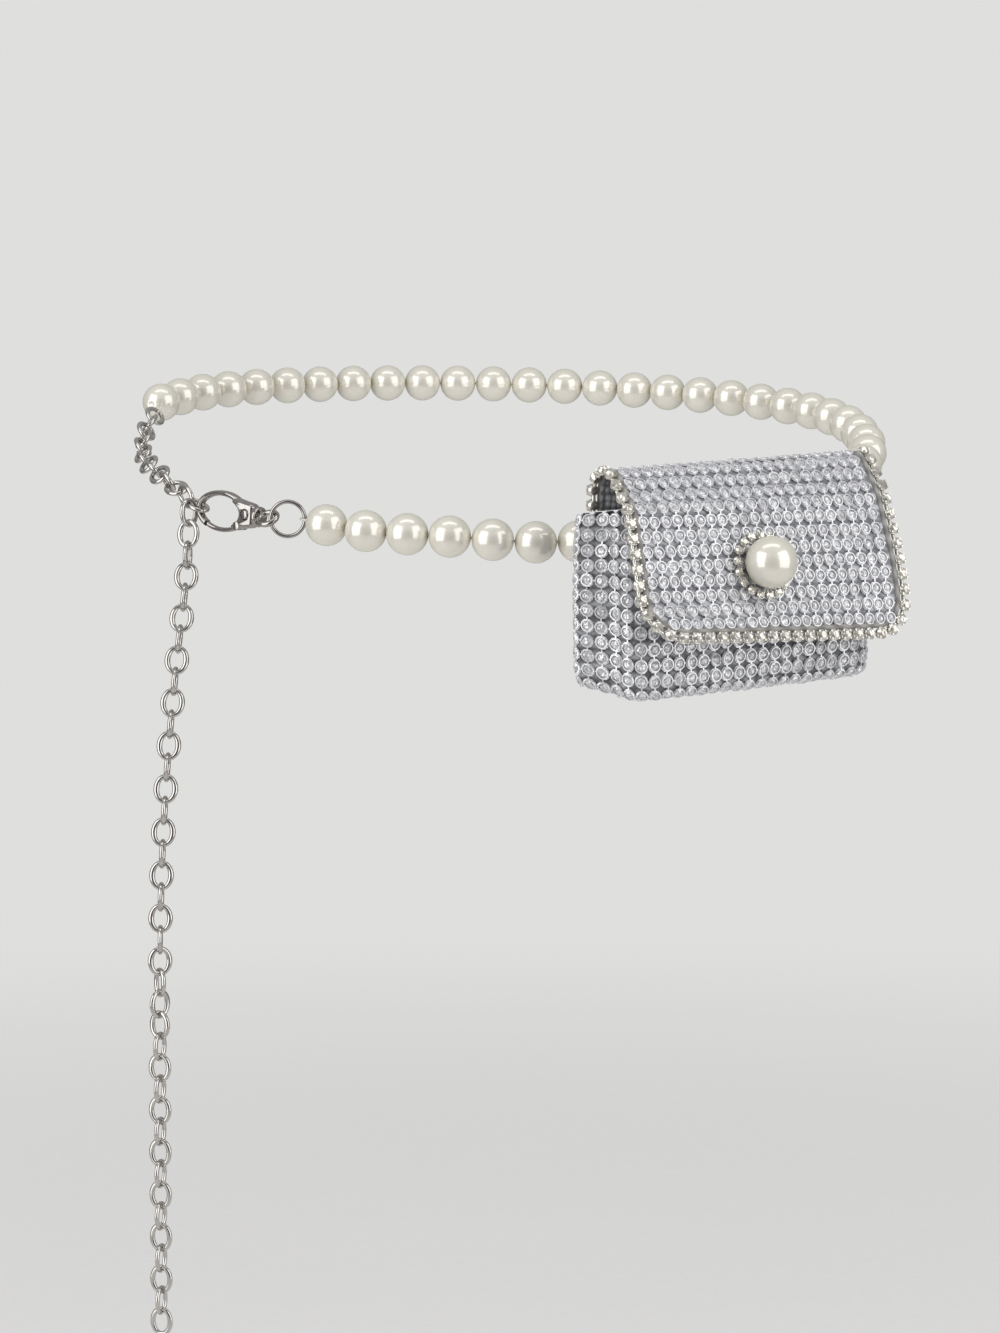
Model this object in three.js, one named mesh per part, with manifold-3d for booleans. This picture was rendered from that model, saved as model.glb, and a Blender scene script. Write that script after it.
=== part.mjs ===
// A belt of imitation pearls with a snap clasp and an extender chain, which carries a mini bag of
// rhinestone mesh. Millimetres, Z up. The origin is the middle of the waist, and the bag faces -Y.
import * as THREE from "three";
import { mergeVertices } from "three/addons/utils/BufferGeometryUtils.js";
import Module from "manifold-3d";

const wasm = await Module();
wasm.setup();

// The waist that the belt is worn on
const waistHalfWidth = 108;
const waistHalfDepth = 92;

// Pearls
const pearlDiameter = 12;
const threadDiameter = 1.6;
const pearlSides = 10;
const frontPearls = 13;

// Extender chain
const linkLength = 8.8;
const linkWidth = 7.2;
const linkWire = 1.35;
const linkFusing = 0.2;
const linkSides = 10;
const wireSides = 5;
const waistLinkRoll = 45;
const waistRollLinks = 4;
const tailTwist = 72;
const tailTwistFrom = 19;
const tailTwistLinks = 7;

// Snap clasp
const hookLength = 20.2;
const hookHeight = 12.2;
const hookWire = 1.5;
const hookDepth = 2.6;
const blockLength = 6.3;
const blockOverlap = 1.3;
const blockHeight = 9.4;
const blockEndHeight = 6.8;
const blockDepth = 4.4;
const gateDepth = 1.7;
const gateNose = 4.1;
const gateBarrel = 2.6;
const hingePin = 0.9;
const hingeSetback = 2.6;
const hingeDrop = 3.4;
const collarDiameter = 6;
const collarLength = 1.6;
const stemDiameter = 1.5;
const stemHead = 2.5;
const stemHeadLength = 1;
const stemLength = 3.2;
const eyeLength = 7.4;
const eyeWidth = 6.8;
const eyeWire = 1.7;
const eyeTilt = 50;
const ringDiameter = 11.2;
const ringWire = 1.2;
const ringTurn = 6;
const claspDrop = 2.8;
const claspAimTurn = -35.5;

// Bag
const bagBeltTurn = 36;
const bagSideStep = 10.6;
const beltToBag = 2.3;
const bagLean = 2.9;
const bagBackWidth = 101;
const bagFrontWidth = 86;
const bagDepth = 18;
const bagHeight = 48;
const bagFrontSag = 5.5;
const bagWall = 2;
const bagFrontRadius = 7;
const bagBackRadius = 1.5;
const frontBulge = 0.5;
const rimHeight = -14;
const flapWidth = 86;
const flapSideStep = 1.1;
const flapThickness = 1.7;
const flapFoldRise = 12;
const flapDropLeft = 43.5;
const flapDropRight = 49.4;
const flapReach = 29;
const flapCorner = 8;
const trimDiameter = 3.3;
const buttonDiameter = 14.5;
const buttonStand = 5.5;
const buttonDown = 0.735;
const buttonAcross = 0.45;
const haloDiameter = 19.8;
const haloStone = 2.7;
const haloHeight = 2.7;
const strapWidth = 8;
const strapThickness = 1.2;
const strapRoom = 0.5;
const strapHeight = 17.2;

const clearance = 0.3;

// Where the belt lies on the waist: turn from the front in degrees, and height
const pearlRoute = [
  [-25.7, -20.8], [-19, -22.4], [-6, -23.8], [6, -25.3], [20, -24], [36, -20.5], [60, -11.5], [84, -1.1],
  [106, 8], [130, 14], [160, 18.5], [190, 20.5], [220, 19.5], [240, 17], [252.3, 14],
];
const chainRoute = [
  [-101, 10.6], [-94, 6], [-87, 1.2], [-79.5, -3], [-69, -6.9], [-59.1, -12.2], [-52.8, -16.9],
];

// How the free chain hangs: steps to the side, forward and down from the hooked link
const tailRoute = [
  [0, 0, 0], [-0.5, -3.3, -17], [-2.9, -10.7, -43], [-5, -16, -69], [-6.8, -19.2, -101],
  [-7.7, -19.6, -139], [-8.1, -19.6, -241],
];

const radians = THREE.MathUtils.degToRad;
const lerp = THREE.MathUtils.lerp;
const smoothstep = THREE.MathUtils.smoothstep;
const up = new THREE.Vector3(0, 0, 1);

const pearlRadius = pearlDiameter / 2;
const pearlLine = { width: waistHalfWidth + pearlRadius, depth: waistHalfDepth + pearlRadius };
const chainStand = (linkWidth / 2) * Math.cos(radians(waistLinkRoll)) + clearance;
const chainLine = { width: waistHalfWidth + chainStand, depth: waistHalfDepth + chainStand };

function onWaist(line, turn, height) {
  const angle = radians(turn);
  return new THREE.Vector3(line.width * Math.sin(angle), -line.depth * Math.cos(angle), height);
}

function routeHeight(turn) {
  const next = pearlRoute.findIndex(([end]) => end >= turn);
  const [[fromTurn, from], [toTurn, to]] = [pearlRoute[next - 1], pearlRoute[next]];
  return lerp(from, to, (turn - fromTurn) / (toTurn - fromTurn));
}

function routeCurve(points) {
  const curve = new THREE.CatmullRomCurve3(points);
  curve.arcLengthDivisions = 1200;
  return curve;
}

// Solids

function positionsOnly(geometry) {
  const bare = new THREE.BufferGeometry();
  bare.setAttribute("position", geometry.getAttribute("position").clone());
  if (geometry.index) {
    bare.setIndex(geometry.index.clone());
  }
  return mergeVertices(bare, 1e-4);
}

function withoutThinTriangles(indices) {
  const kept = [];
  for (let i = 0; i < indices.length; i += 3) {
    const [a, b, c] = [indices[i], indices[i + 1], indices[i + 2]];
    if (a !== b && b !== c && c !== a) {
      kept.push(a, b, c);
    }
  }
  return kept;
}

function signedVolume(points, indices) {
  const [a, b, c] = [new THREE.Vector3(), new THREE.Vector3(), new THREE.Vector3()];
  let volume = 0;
  for (let i = 0; i < indices.length; i += 3) {
    a.fromArray(points, indices[i] * 3);
    b.fromArray(points, indices[i + 1] * 3);
    c.fromArray(points, indices[i + 2] * 3);
    volume += a.dot(b.cross(c)) / 6;
  }
  return volume;
}

function solidOf(geometry) {
  const merged = positionsOnly(geometry);
  const vertProperties = merged.getAttribute("position").array;
  let triVerts = withoutThinTriangles(merged.index.array);
  if (signedVolume(vertProperties, triVerts) < 0) {
    triVerts = triVerts.reverse();
  }
  return new wasm.Manifold(
    new wasm.Mesh({ numProp: 3, vertProperties, triVerts: Uint32Array.from(triVerts) }),
  );
}

function geometryOf(solid) {
  const mesh = solid.getMesh();
  const geometry = new THREE.BufferGeometry();
  geometry.setAttribute("position", new THREE.BufferAttribute(mesh.vertProperties, 3));
  geometry.setIndex(new THREE.BufferAttribute(mesh.triVerts, 1));
  const faceted = geometry.toNonIndexed();
  faceted.computeVertexNormals();
  return faceted;
}

function joined(geometries) {
  return geometries.map(solidOf).reduce((whole, piece) => whole.add(piece));
}

function piece(name, solid, color, roughness, metalness) {
  const material = new THREE.MeshStandardMaterial({ color, roughness, metalness, flatShading: true });
  const mesh = new THREE.Mesh(geometryOf(solid), material);
  mesh.name = name;
  return mesh;
}

// A closed skin through rings of points, with a lid over the first and the last ring
function loft(rings) {
  const sides = rings[0].length;
  const points = rings.flat();
  const indices = [];
  for (let ring = 0; ring < rings.length - 1; ring += 1) {
    for (let side = 0; side < sides; side += 1) {
      const next = (side + 1) % sides;
      const [a, b] = [ring * sides + side, ring * sides + next];
      const [c, d] = [a + sides, b + sides];
      indices.push(a, b, d, a, d, c);
    }
  }
  [[0, -1], [rings.length - 1, 1]].forEach(([ring, facing]) => {
    const middle = new THREE.Vector3();
    rings[ring].forEach((point) => middle.addScaledVector(point, 1 / sides));
    const hub = points.push(middle) - 1;
    for (let side = 0; side < sides; side += 1) {
      const [a, b] = [ring * sides + side, ring * sides + ((side + 1) % sides)];
      indices.push(hub, facing > 0 ? a : b, facing > 0 ? b : a);
    }
  });
  const geometry = new THREE.BufferGeometry().setFromPoints(points);
  geometry.setIndex(indices);
  return geometry;
}

function movePoints(geometry, move) {
  const position = geometry.getAttribute("position");
  const point = new THREE.Vector3();
  for (let i = 0; i < position.count; i += 1) {
    move(point.fromBufferAttribute(position, i));
    position.setXYZ(i, point.x, point.y, point.z);
  }
  return geometry;
}

// A wire ring that lies flat in XY, with an edge of its wire facing inwards
function wireRing(width, wire, sides) {
  const profile = [];
  for (let side = 0; side <= wireSides; side += 1) {
    const angle = Math.PI * (1 + (2 * side) / wireSides);
    profile.push(new THREE.Vector2(
      (width - wire) / 2 + (wire / 2) * Math.cos(angle), (wire / 2) * Math.sin(angle),
    ));
  }
  return new THREE.LatheGeometry(profile, sides).rotateX(Math.PI / 2);
}

// A wire link that lies flat in XY, long along X
function ovalLink(length, width, wire, sides) {
  const stretch = (length - width) / 2;
  return movePoints(wireRing(width, wire, sides).rotateZ(Math.PI / 2), (point) => {
    point.x += Math.abs(point.x) < 1e-4 ? 0 : Math.sign(point.x) * stretch;
  });
}

// A frame with X along the run and Z along the normal of the link's plane
function runFrame(at, along, normal) {
  const x = along.clone().normalize();
  const z = normal.clone().addScaledVector(x, -normal.dot(x)).normalize();
  const y = new THREE.Vector3().crossVectors(z, x);
  return new THREE.Matrix4().makeBasis(x, y, z).setPosition(at);
}

// Flat outlines are drawn in X and Z, and are as deep along Y as given
function plate(shape, depth, segments = 8) {
  const geometry = new THREE.ExtrudeGeometry(shape, {
    depth, bevelEnabled: false, curveSegments: segments,
  });
  return geometry.translate(0, 0, -depth / 2).rotateX(Math.PI / 2);
}

function rodAlongX(from, to, diameter, sides = 10) {
  const rod = new THREE.CylinderGeometry(diameter / 2, diameter / 2, to - from, sides);
  return rod.rotateZ(Math.PI / 2).translate((from + to) / 2, 0, 0);
}

function rodAlongY(x, z, diameter, length, sides = 10) {
  const rod = new THREE.CylinderGeometry(diameter / 2, diameter / 2, length, sides);
  return rod.translate(x, 0, z);
}

function polygon(corners) {
  return new THREE.Shape(corners.map(([x, y]) => new THREE.Vector2(x, y)));
}

// Snap clasp, drawn flat: X runs from the hook's outer end to the eye, and -Y faces away from the waist

const hookMiddle = hookLength / 2;
const blockEnd = hookLength - hookWire + blockLength - blockOverlap;
const hinge = { x: hookLength - hingeSetback, z: -hingeDrop };

function hookOutline(shrink) {
  const shape = new THREE.Shape();
  shape.absellipse(hookMiddle, 0, hookMiddle - shrink, hookHeight / 2 - shrink, 0, Math.PI * 2);
  const hole = new THREE.Path();
  const wall = hookWire - shrink;
  hole.absellipse(hookMiddle, 0, hookMiddle - wall, hookHeight / 2 - wall, 0, Math.PI * 2);
  shape.holes.push(hole);
  return shape;
}

function hookInside() {
  const shape = new THREE.Shape();
  shape.absellipse(hookMiddle, 0, hookMiddle - hookWire, hookHeight / 2 - hookWire, 0, Math.PI * 2);
  return shape;
}

function gateReach(from, to) {
  const low = -hookHeight;
  return polygon([[from, low], [to, low], [to, hinge.z + hookWire / 2], [from, hinge.z + hookWire / 2]]);
}

function clasp_hook() {
  const ring = solidOf(plate(hookOutline(0), hookDepth, 10));
  const cheek = hinge.x - gateBarrel * 0.6;
  const block = solidOf(plate(polygon([
    [cheek, hinge.z + gateBarrel * 0.6],
    [cheek, -blockHeight / 2 - 0.6],
    [hookLength, -blockHeight / 2],
    [blockEnd, -blockEndHeight / 2],
    [blockEnd, blockEndHeight / 2],
    [hookLength - blockLength / 2, blockHeight / 2],
  ]), blockDepth)).subtract(solidOf(plate(hookInside(), blockDepth * 2, 10)));
  const cheeks = solidOf(rodAlongY(hinge.x, hinge.z, gateBarrel, blockDepth));
  const opening = solidOf(plate(gateReach(gateNose, hinge.x - gateBarrel / 2), hookDepth * 2));
  const sweep = radians(34);
  const reach = gateBarrel * 1.6;
  const slot = solidOf(plate(polygon([
    [hinge.x + gateBarrel * 0.2, hinge.z - hookHeight / 2],
    [hinge.x + gateBarrel / 2 + clearance, hinge.z],
    [hinge.x + gateBarrel * 0.2, hinge.z + gateBarrel / 2 + clearance],
    [hinge.x - reach * Math.cos(sweep), hinge.z + reach * Math.sin(sweep) + gateBarrel / 2],
    [hinge.x - reach * 1.5, hinge.z - hookHeight / 2],
  ]), gateDepth + clearance * 2));
  const pin = solidOf(rodAlongY(hinge.x, hinge.z, hingePin, blockDepth * 0.9, 8));
  const bore = solidOf(rodAlongX(blockEnd - stemLength, blockEnd + 1, stemDiameter + clearance * 2));
  const chamber = solidOf(rodAlongX(
    blockEnd - stemLength - clearance,
    blockEnd - stemLength + stemHeadLength + clearance,
    stemHead + clearance * 2,
  ));
  return ring.subtract(opening).add(block).add(cheeks).subtract(slot).add(pin)
    .subtract(bore).subtract(chamber);
}

function clasp_gate() {
  const tip = gateNose + clearance * 2.2;
  const bar = solidOf(plate(hookOutline(0.1), gateDepth, 10))
    .intersect(solidOf(plate(gateReach(tip, hinge.x), hookDepth)));
  const barrel = solidOf(rodAlongY(hinge.x, hinge.z, gateBarrel, gateDepth));
  const bore = solidOf(rodAlongY(hinge.x, hinge.z, hingePin + clearance * 2, gateDepth * 2, 8));
  return bar.add(barrel).subtract(bore);
}

const collarStart = blockEnd + clearance;
const eyeStart = collarStart + collarLength - eyeWire / 2;
const ringSeat = eyeStart + eyeLength - eyeWire - clearance - ringWire / 2;

function clasp_swivel_eye() {
  const collar = rodAlongX(collarStart, collarStart + collarLength, collarDiameter, 12);
  const stem = rodAlongX(blockEnd - stemLength + stemHeadLength / 2, collarStart + 0.5, stemDiameter);
  const head = rodAlongX(
    blockEnd - stemLength, blockEnd - stemLength + stemHeadLength, stemHead,
  );
  const eye = ovalLink(eyeLength, eyeWidth, eyeWire, 12)
    .rotateX(Math.PI / 2 - radians(eyeTilt))
    .translate(eyeStart + eyeLength / 2, 0, 0);
  return joined([collar, stem, head, eye]);
}

// Where the clasp lies on the waist
const hookWireAt = onWaist(chainLine, ...chainRoute[chainRoute.length - 1]);
const claspAim = onWaist(chainLine, claspAimTurn, hookWireAt.z - claspDrop);
const claspAlong = claspAim.clone().sub(hookWireAt).normalize();
const claspOrigin = hookWireAt.clone().addScaledVector(claspAlong, -hookWire / 2);
const claspFrame = runFrame(claspOrigin, claspAlong, up);
const ringLeft = claspOrigin.clone().addScaledVector(claspAlong, ringSeat);
const ringAcross = new THREE.Vector3(Math.cos(radians(ringTurn)), -Math.sin(radians(ringTurn)), 0);
const ringRadius = (ringDiameter - ringWire) / 2;
const ringMiddle = ringLeft.clone().addScaledVector(ringAcross, ringRadius);
const ringRight = ringMiddle.clone().addScaledVector(ringAcross, ringRadius);

function jump_ring() {
  const facing = new THREE.Vector3().crossVectors(ringAcross, up);
  const ring = wireRing(ringDiameter, ringWire, 14);
  return solidOf(ring.applyMatrix4(runFrame(ringMiddle, ringAcross, facing)));
}

// Chain of oval links, each fused to the next where they touch

const linkPitch = linkLength - linkWire * 2 + linkFusing;

function linkAt(at, along, normal) {
  return ovalLink(linkLength, linkWidth, linkWire, linkSides)
    .applyMatrix4(runFrame(at, along, normal));
}

// The hooked link lies level, and the hook's wire stands in it as near to its end as it fits
const linkStraight = (linkLength - linkWidth) / 2;
const linkHole = linkWidth / 2 - linkWire;
const hookFit = Math.sqrt(linkHole ** 2 - (hookDepth / 2 + clearance) ** 2);
const hookedSetback = linkStraight + hookFit - hookWire / 2;

const chainCurve = routeCurve(chainRoute.map(([turn, height]) => onWaist(chainLine, turn, height)));
const chainRun = chainCurve.getLength() - hookedSetback;
const waistLinks = Math.round(chainRun / linkPitch) + 1;

function waistLinkPlace(index) {
  const share = (chainRun - index * linkPitch) / chainCurve.getLength();
  const at = share >= 0
    ? chainCurve.getPointAt(share)
    : chainCurve.getPointAt(0).addScaledVector(chainCurve.getTangentAt(0), share * chainCurve.getLength());
  const along = chainCurve.getTangentAt(Math.max(share, 0));
  const roll = (index % 2) * 90 + waistLinkRoll * Math.min(index / waistRollLinks, 1);
  const normal = up.clone().addScaledVector(along, -up.dot(along)).normalize()
    .applyAxisAngle(along, radians(roll));
  return { at, along, normal };
}

const waistLinkPlaces = Array.from({ length: waistLinks }, (_, index) => waistLinkPlace(index));

function waist_chain() {
  return joined(waistLinkPlaces.map(({ at, along, normal }) => linkAt(at, along, normal)));
}

// The first hanging link sits over the outer side of the hooked link
const hooked = waistLinkPlaces[0];
const outward = new THREE.Vector3(hooked.along.y, -hooked.along.x, 0).normalize();
const hangingStart = hooked.at.clone()
  .addScaledVector(outward, (linkWidth - linkWire) / 2)
  .addScaledVector(up, linkWire + clearance + linkWire / 2 - linkLength / 2);
const tailCurve = routeCurve(tailRoute.map(([side, forward, down]) => (
  hangingStart.clone().add(new THREE.Vector3(side, forward, down))
)));
const tailLinks = Math.floor(tailCurve.getLength() / linkPitch) + 1;
const firstTurns = [50, -20, 80];

function tailLinkNormal(index) {
  const twist = tailTwist * smoothstep(index, tailTwistFrom, tailTwistFrom + tailTwistLinks);
  const turn = index < firstTurns.length ? firstTurns[index] : (index % 2 ? 0 : 90) + twist;
  return new THREE.Vector3(-Math.sin(radians(turn)), Math.cos(radians(turn)), 0);
}

function tail_chain() {
  const links = [];
  for (let index = 0; index < tailLinks; index += 1) {
    const share = (index * linkPitch) / tailCurve.getLength();
    links.push(linkAt(tailCurve.getPointAt(share), tailCurve.getTangentAt(share), tailLinkNormal(index)));
  }
  return joined(links);
}

// Pearls on a thread, turned straight and then laid along their route

const pearlCurve = routeCurve(pearlRoute.map(([turn, height]) => onWaist(pearlLine, turn, height)));
const pearlCount = Math.round(pearlCurve.getLength() / (pearlDiameter + clearance)) + 1;
const pearlPitch = pearlCurve.getLength() / (pearlCount - 1);
const pearlProfile = [[-0.36, 0.7], [0, 1], [0.36, 0.7]];

function pearlCentre(index) {
  return pearlCurve.getPointAt(index / (pearlCount - 1));
}

function alongRoute(distance) {
  const share = THREE.MathUtils.clamp(distance / pearlCurve.getLength(), 0, 1);
  const along = pearlCurve.getTangentAt(share);
  const past = distance - share * pearlCurve.getLength();
  const at = pearlCurve.getPointAt(share).addScaledVector(along, past);
  const side = new THREE.Vector3().crossVectors(up, along).normalize();
  return { at, along, side, above: new THREE.Vector3().crossVectors(along, side) };
}

function pearls(first, last, startGap, endGap) {
  const half = pearlPitch / 2;
  const thread = threadDiameter / 2;
  const profile = [new THREE.Vector2(0, first * pearlPitch - half + startGap)];
  for (let index = first; index <= last; index += 1) {
    const centre = index * pearlPitch;
    const start = index === first ? startGap : 0;
    profile.push(new THREE.Vector2(thread, centre - half + start));
    pearlProfile.forEach(([place, girth]) => {
      profile.push(new THREE.Vector2(pearlRadius * girth, centre + pearlDiameter * place));
    });
  }
  profile.push(new THREE.Vector2(thread, last * pearlPitch + half - endGap));
  profile.push(new THREE.Vector2(0, last * pearlPitch + half - endGap));
  return movePoints(new THREE.LatheGeometry(profile, pearlSides), (point) => {
    const { at, side, above } = alongRoute(point.y);
    const [across, high] = [point.x, point.z];
    point.copy(at).addScaledVector(side, across).addScaledVector(above, high);
  });
}

// The thread's end loop, from inside the last pearl round a wire
function endLoop(pearl, wireAt, wireAxis, wire) {
  const along = wireAt.clone().sub(pearl);
  const reach = along.length() + wire / 2 + clearance + threadDiameter / 2;
  const start = pearlRadius - threadDiameter;
  const width = wire + clearance * 2 + threadDiameter * 1.2;
  const middle = pearl.clone().addScaledVector(along.clone().normalize(), (start + reach) / 2);
  return ovalLink(reach - start, width, threadDiameter / 2, 8)
    .applyMatrix4(runFrame(middle, along, wireAxis));
}

function pearl_string_front() {
  const loop = endLoop(pearlCentre(0), ringRight, up, ringWire);
  return joined([pearls(0, frontPearls - 1, 0, clearance / 2), loop]);
}

function pearl_string_back() {
  const lastLink = waistLinkPlaces[waistLinks - 1];
  const wireAt = lastLink.at.clone().addScaledVector(lastLink.along, -(linkLength - linkWire) / 2);
  const wireAxis = new THREE.Vector3().crossVectors(lastLink.normal, lastLink.along);
  const loop = endLoop(pearlCentre(pearlCount - 1), wireAt, wireAxis, linkWire);
  return joined([pearls(frontPearls, pearlCount - 1, clearance / 2, 0), loop]);
}

// Bag. The belt touches a line along X at one turn, and the bag hangs there, square to the frame

const beltTurn = radians(bagBeltTurn);
const bagTurn = Math.atan2(pearlLine.depth * Math.sin(beltTurn), pearlLine.width * Math.cos(beltTurn));
const beltAt = onWaist(pearlLine, bagBeltTurn, routeHeight(bagBeltTurn)).applyAxisAngle(up, -bagTurn);
const bagMiddle = beltAt.x - bagSideStep;
const bagBack = beltAt.y - pearlRadius - beltToBag;

function leant(x, z) {
  return z + (x - bagMiddle) * Math.tan(radians(bagLean));
}

// Each row: how far down, and how much of the bag's depth and width there is
const bodySections = [
  { down: 0, depth: 0.78, width: 0.98 },
  { down: 0.22, depth: 0.88, width: 1 },
  { down: 0.55, depth: 0.97, width: 1 },
  { down: 0.86, depth: 1, width: 0.995 },
  { down: 0.955, depth: 0.96, width: 0.98 },
  { down: 1, depth: 0.78, width: 0.94 },
];

function bodyRing({ down, depth, width }, inset, lift) {
  const deep = bagDepth * depth;
  const rear = -inset;
  const front = inset - deep;
  const backHalf = (bagBackWidth / 2) * width - inset;
  const frontHalf = (bagFrontWidth / 2) * width - inset + (bagBackWidth - bagFrontWidth) * 0.5 * (1 - depth);
  const round = Math.max(bagFrontRadius - inset, 1);
  const corner = [0, 30, 60, 90].map((turn) => [
    frontHalf - round + round * Math.cos(radians(turn)), front + round - round * Math.sin(radians(turn)),
  ]);
  const right = [
    [backHalf * 0.4, rear], [backHalf - bagBackRadius, rear], [backHalf, rear - bagBackRadius],
    ...corner, [frontHalf * 0.4, front - frontBulge * 0.6],
  ];
  const left = right.map(([x, y]) => [-x, y]).reverse();
  const outline = [...right, [0, front - frontBulge], ...left];
  return outline.map(([x, y]) => {
    const fall = bagHeight + bagFrontSag * THREE.MathUtils.clamp(-y / bagDepth, 0, 1);
    return new THREE.Vector3(bagMiddle + x, bagBack + y, leant(bagMiddle + x, rimHeight - down * fall + lift));
  });
}

function bag_body() {
  const outside = bodySections.map((section) => bodyRing(section, 0, 0)).reverse();
  const inside = bodySections.map((section, row) => (
    bodyRing(section, bagWall, row === bodySections.length - 1 ? bagWall : bagWall * section.down)
  ));
  return solidOf(loft([...outside, ...inside]));
}

// Each row: how far the flap has fallen from its fold, and how far it stands off the back panel
const flapSections = [
  { fall: 0.23, reachLeft: 0, reachRight: 0 },
  { fall: 0.1, reachLeft: 0.015, reachRight: 0.015 },
  { fall: 0.025, reachLeft: 0.11, reachRight: 0.11 },
  { fall: 0, reachLeft: 0.26, reachRight: 0.24 },
  { fall: 0.045, reachLeft: 0.38, reachRight: 0.35 },
  { fall: 0.13, reachLeft: 0.47, reachRight: 0.45 },
  { fall: 0.24, reachLeft: 0.62, reachRight: 0.58 },
  { fall: 0.4, reachLeft: 0.7, reachRight: 0.69 },
  { fall: 0.62, reachLeft: 0.79, reachRight: 0.83 },
  { fall: 0.79, reachLeft: 0.85, reachRight: 0.9 },
  { fall: 0.92, reachLeft: 0.97, reachRight: 0.94 },
  { fall: 1, reachLeft: 1.04, reachRight: 0.96 },
];
const flapMiddle = bagMiddle + flapSideStep;
const foldHeight = rimHeight + flapFoldRise;
const backFall = flapFoldRise - clearance;

function flapSide(dropLength, reachColumn) {
  const points = flapSections.map((section, row) => new THREE.Vector3(
    0,
    bagBack - flapReach * section[reachColumn],
    foldHeight - (row === 0 ? backFall : dropLength * section.fall),
  ));
  return routeCurve(points);
}

const flapLeft = flapSide(flapDropLeft, "reachLeft");
const flapRight = flapSide(flapDropRight, "reachRight");
const flapLength = (flapLeft.getLength() + flapRight.getLength()) / 2;

function sidePoint(curve, share) {
  const held = THREE.MathUtils.clamp(share, 0, 1);
  const past = (share - held) * flapLength;
  return curve.getPointAt(held).addScaledVector(curve.getTangentAt(held), past);
}

// A point of the flap's outer face, from the step across and the way along it from its rear edge
function flapPoint(across, along) {
  const share = along / flapLength;
  const side = across / flapWidth + 0.5;
  const point = sidePoint(flapLeft, share).lerp(sidePoint(flapRight, share), side);
  const x = flapMiddle + across;
  return new THREE.Vector3(x, point.y, leant(x, point.z));
}

function flapNormal(across, along) {
  const step = 0.5;
  const held = Math.max(along, step);
  const over = flapPoint(across + step, held).sub(flapPoint(across - step, held));
  const down = flapPoint(across, held + step).sub(flapPoint(across, held - step));
  return down.cross(over).normalize();
}

function flapLayer(across, along, depth) {
  return flapPoint(across, along).addScaledVector(flapNormal(across, along), -depth);
}

function cornerInset(along, corner, length) {
  const into = along - (length - corner);
  return into <= 0 ? 0 : corner - Math.sqrt(Math.max(corner ** 2 - into ** 2, 0));
}

function bag_flap() {
  const straight = [0, 0.05, 0.1, 0.15, 0.2, 0.25, 0.31, 0.38, 0.48, 0.6, 0.72, 0.82];
  const corner = [0.25, 0.55, 0.8, 0.94];
  const last = (flapLength - flapCorner) / flapLength;
  const rows = [
    ...straight.filter((share) => share < last - 0.03).map((share) => share * flapLength),
    flapLength - flapCorner,
    ...corner.map((share) => flapLength - flapCorner * (1 - share)),
    flapLength,
  ];
  const columns = [-1, -0.66, -0.33, 0, 0.33, 0.66, 1];
  const rings = rows.map((along) => {
    const half = flapWidth / 2 - cornerInset(along, flapCorner, flapLength);
    const outer = columns.map((share) => flapLayer(share * half, along, 0));
    const inner = columns.map((share) => flapLayer(share * half, along, flapThickness)).reverse();
    return [...outer, ...inner];
  });
  return solidOf(loft(rings));
}

function flap_trim() {
  const out = trimDiameter / 2 + clearance;
  const half = flapWidth / 2 + out;
  const end = flapLength + out;
  const corner = flapCorner + out;
  const path = [];
  const rise = [0, 0.07, 0.14, 0.2, 0.26, 0.33, 0.42, 0.53, 0.66, 0.8, 0.92, 1];
  rise.forEach((share) => path.push([-half, share * (end - corner)]));
  [30, 60, 90].forEach((turn) => path.push([
    -half + corner - corner * Math.cos(radians(turn)), end - corner + corner * Math.sin(radians(turn)),
  ]));
  [0.33, 0.67].forEach((share) => path.push([(share * 2 - 1) * (half - corner), end]));
  const mirrored = path.slice(0, -2).reverse().map(([across, along]) => [-across, along]);
  const points = [...path, ...mirrored].map(([across, along]) => (
    flapLayer(across, along, flapThickness / 2)
  ));
  const section = new THREE.Shape();
  section.absarc(0, 0, trimDiameter / 2, 0, Math.PI * 2);
  return solidOf(new THREE.ExtrudeGeometry(section, {
    steps: 42, curveSegments: 3, extrudePath: routeCurve(points),
  }));
}

const buttonPlace = [(buttonAcross - 0.5) * flapWidth, buttonDown * flapLength];

function onFlap(geometry) {
  const normal = flapNormal(...buttonPlace);
  const turn = new THREE.Quaternion().setFromUnitVectors(new THREE.Vector3(0, 1, 0), normal);
  return geometry.applyQuaternion(turn).translate(...flapPoint(...buttonPlace).toArray());
}

function pearl_button() {
  const radius = buttonDiameter / 2;
  const low = Math.asin((clearance - buttonStand) / radius);
  const profile = [new THREE.Vector2(0, clearance)];
  const rings = 6;
  for (let ring = 0; ring < rings; ring += 1) {
    const angle = lerp(low, Math.PI / 2, ring / rings);
    profile.push(new THREE.Vector2(radius * Math.cos(angle), buttonStand + radius * Math.sin(angle)));
  }
  profile.push(new THREE.Vector2(0, buttonStand + radius));
  return solidOf(onFlap(new THREE.LatheGeometry(profile, 14)));
}

function button_halo() {
  const outer = haloDiameter / 2;
  const inner = outer - haloStone;
  const top = clearance + haloHeight;
  const profile = [
    [inner, clearance], [outer, clearance], [outer, top - haloHeight / 3],
    [outer - haloStone / 3, top], [inner + haloStone / 3, top], [inner, top - haloHeight / 3],
    [inner, clearance],
  ].map(([radius, height]) => new THREE.Vector2(radius, height));
  return solidOf(onFlap(new THREE.LatheGeometry(profile, 16)));
}

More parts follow.
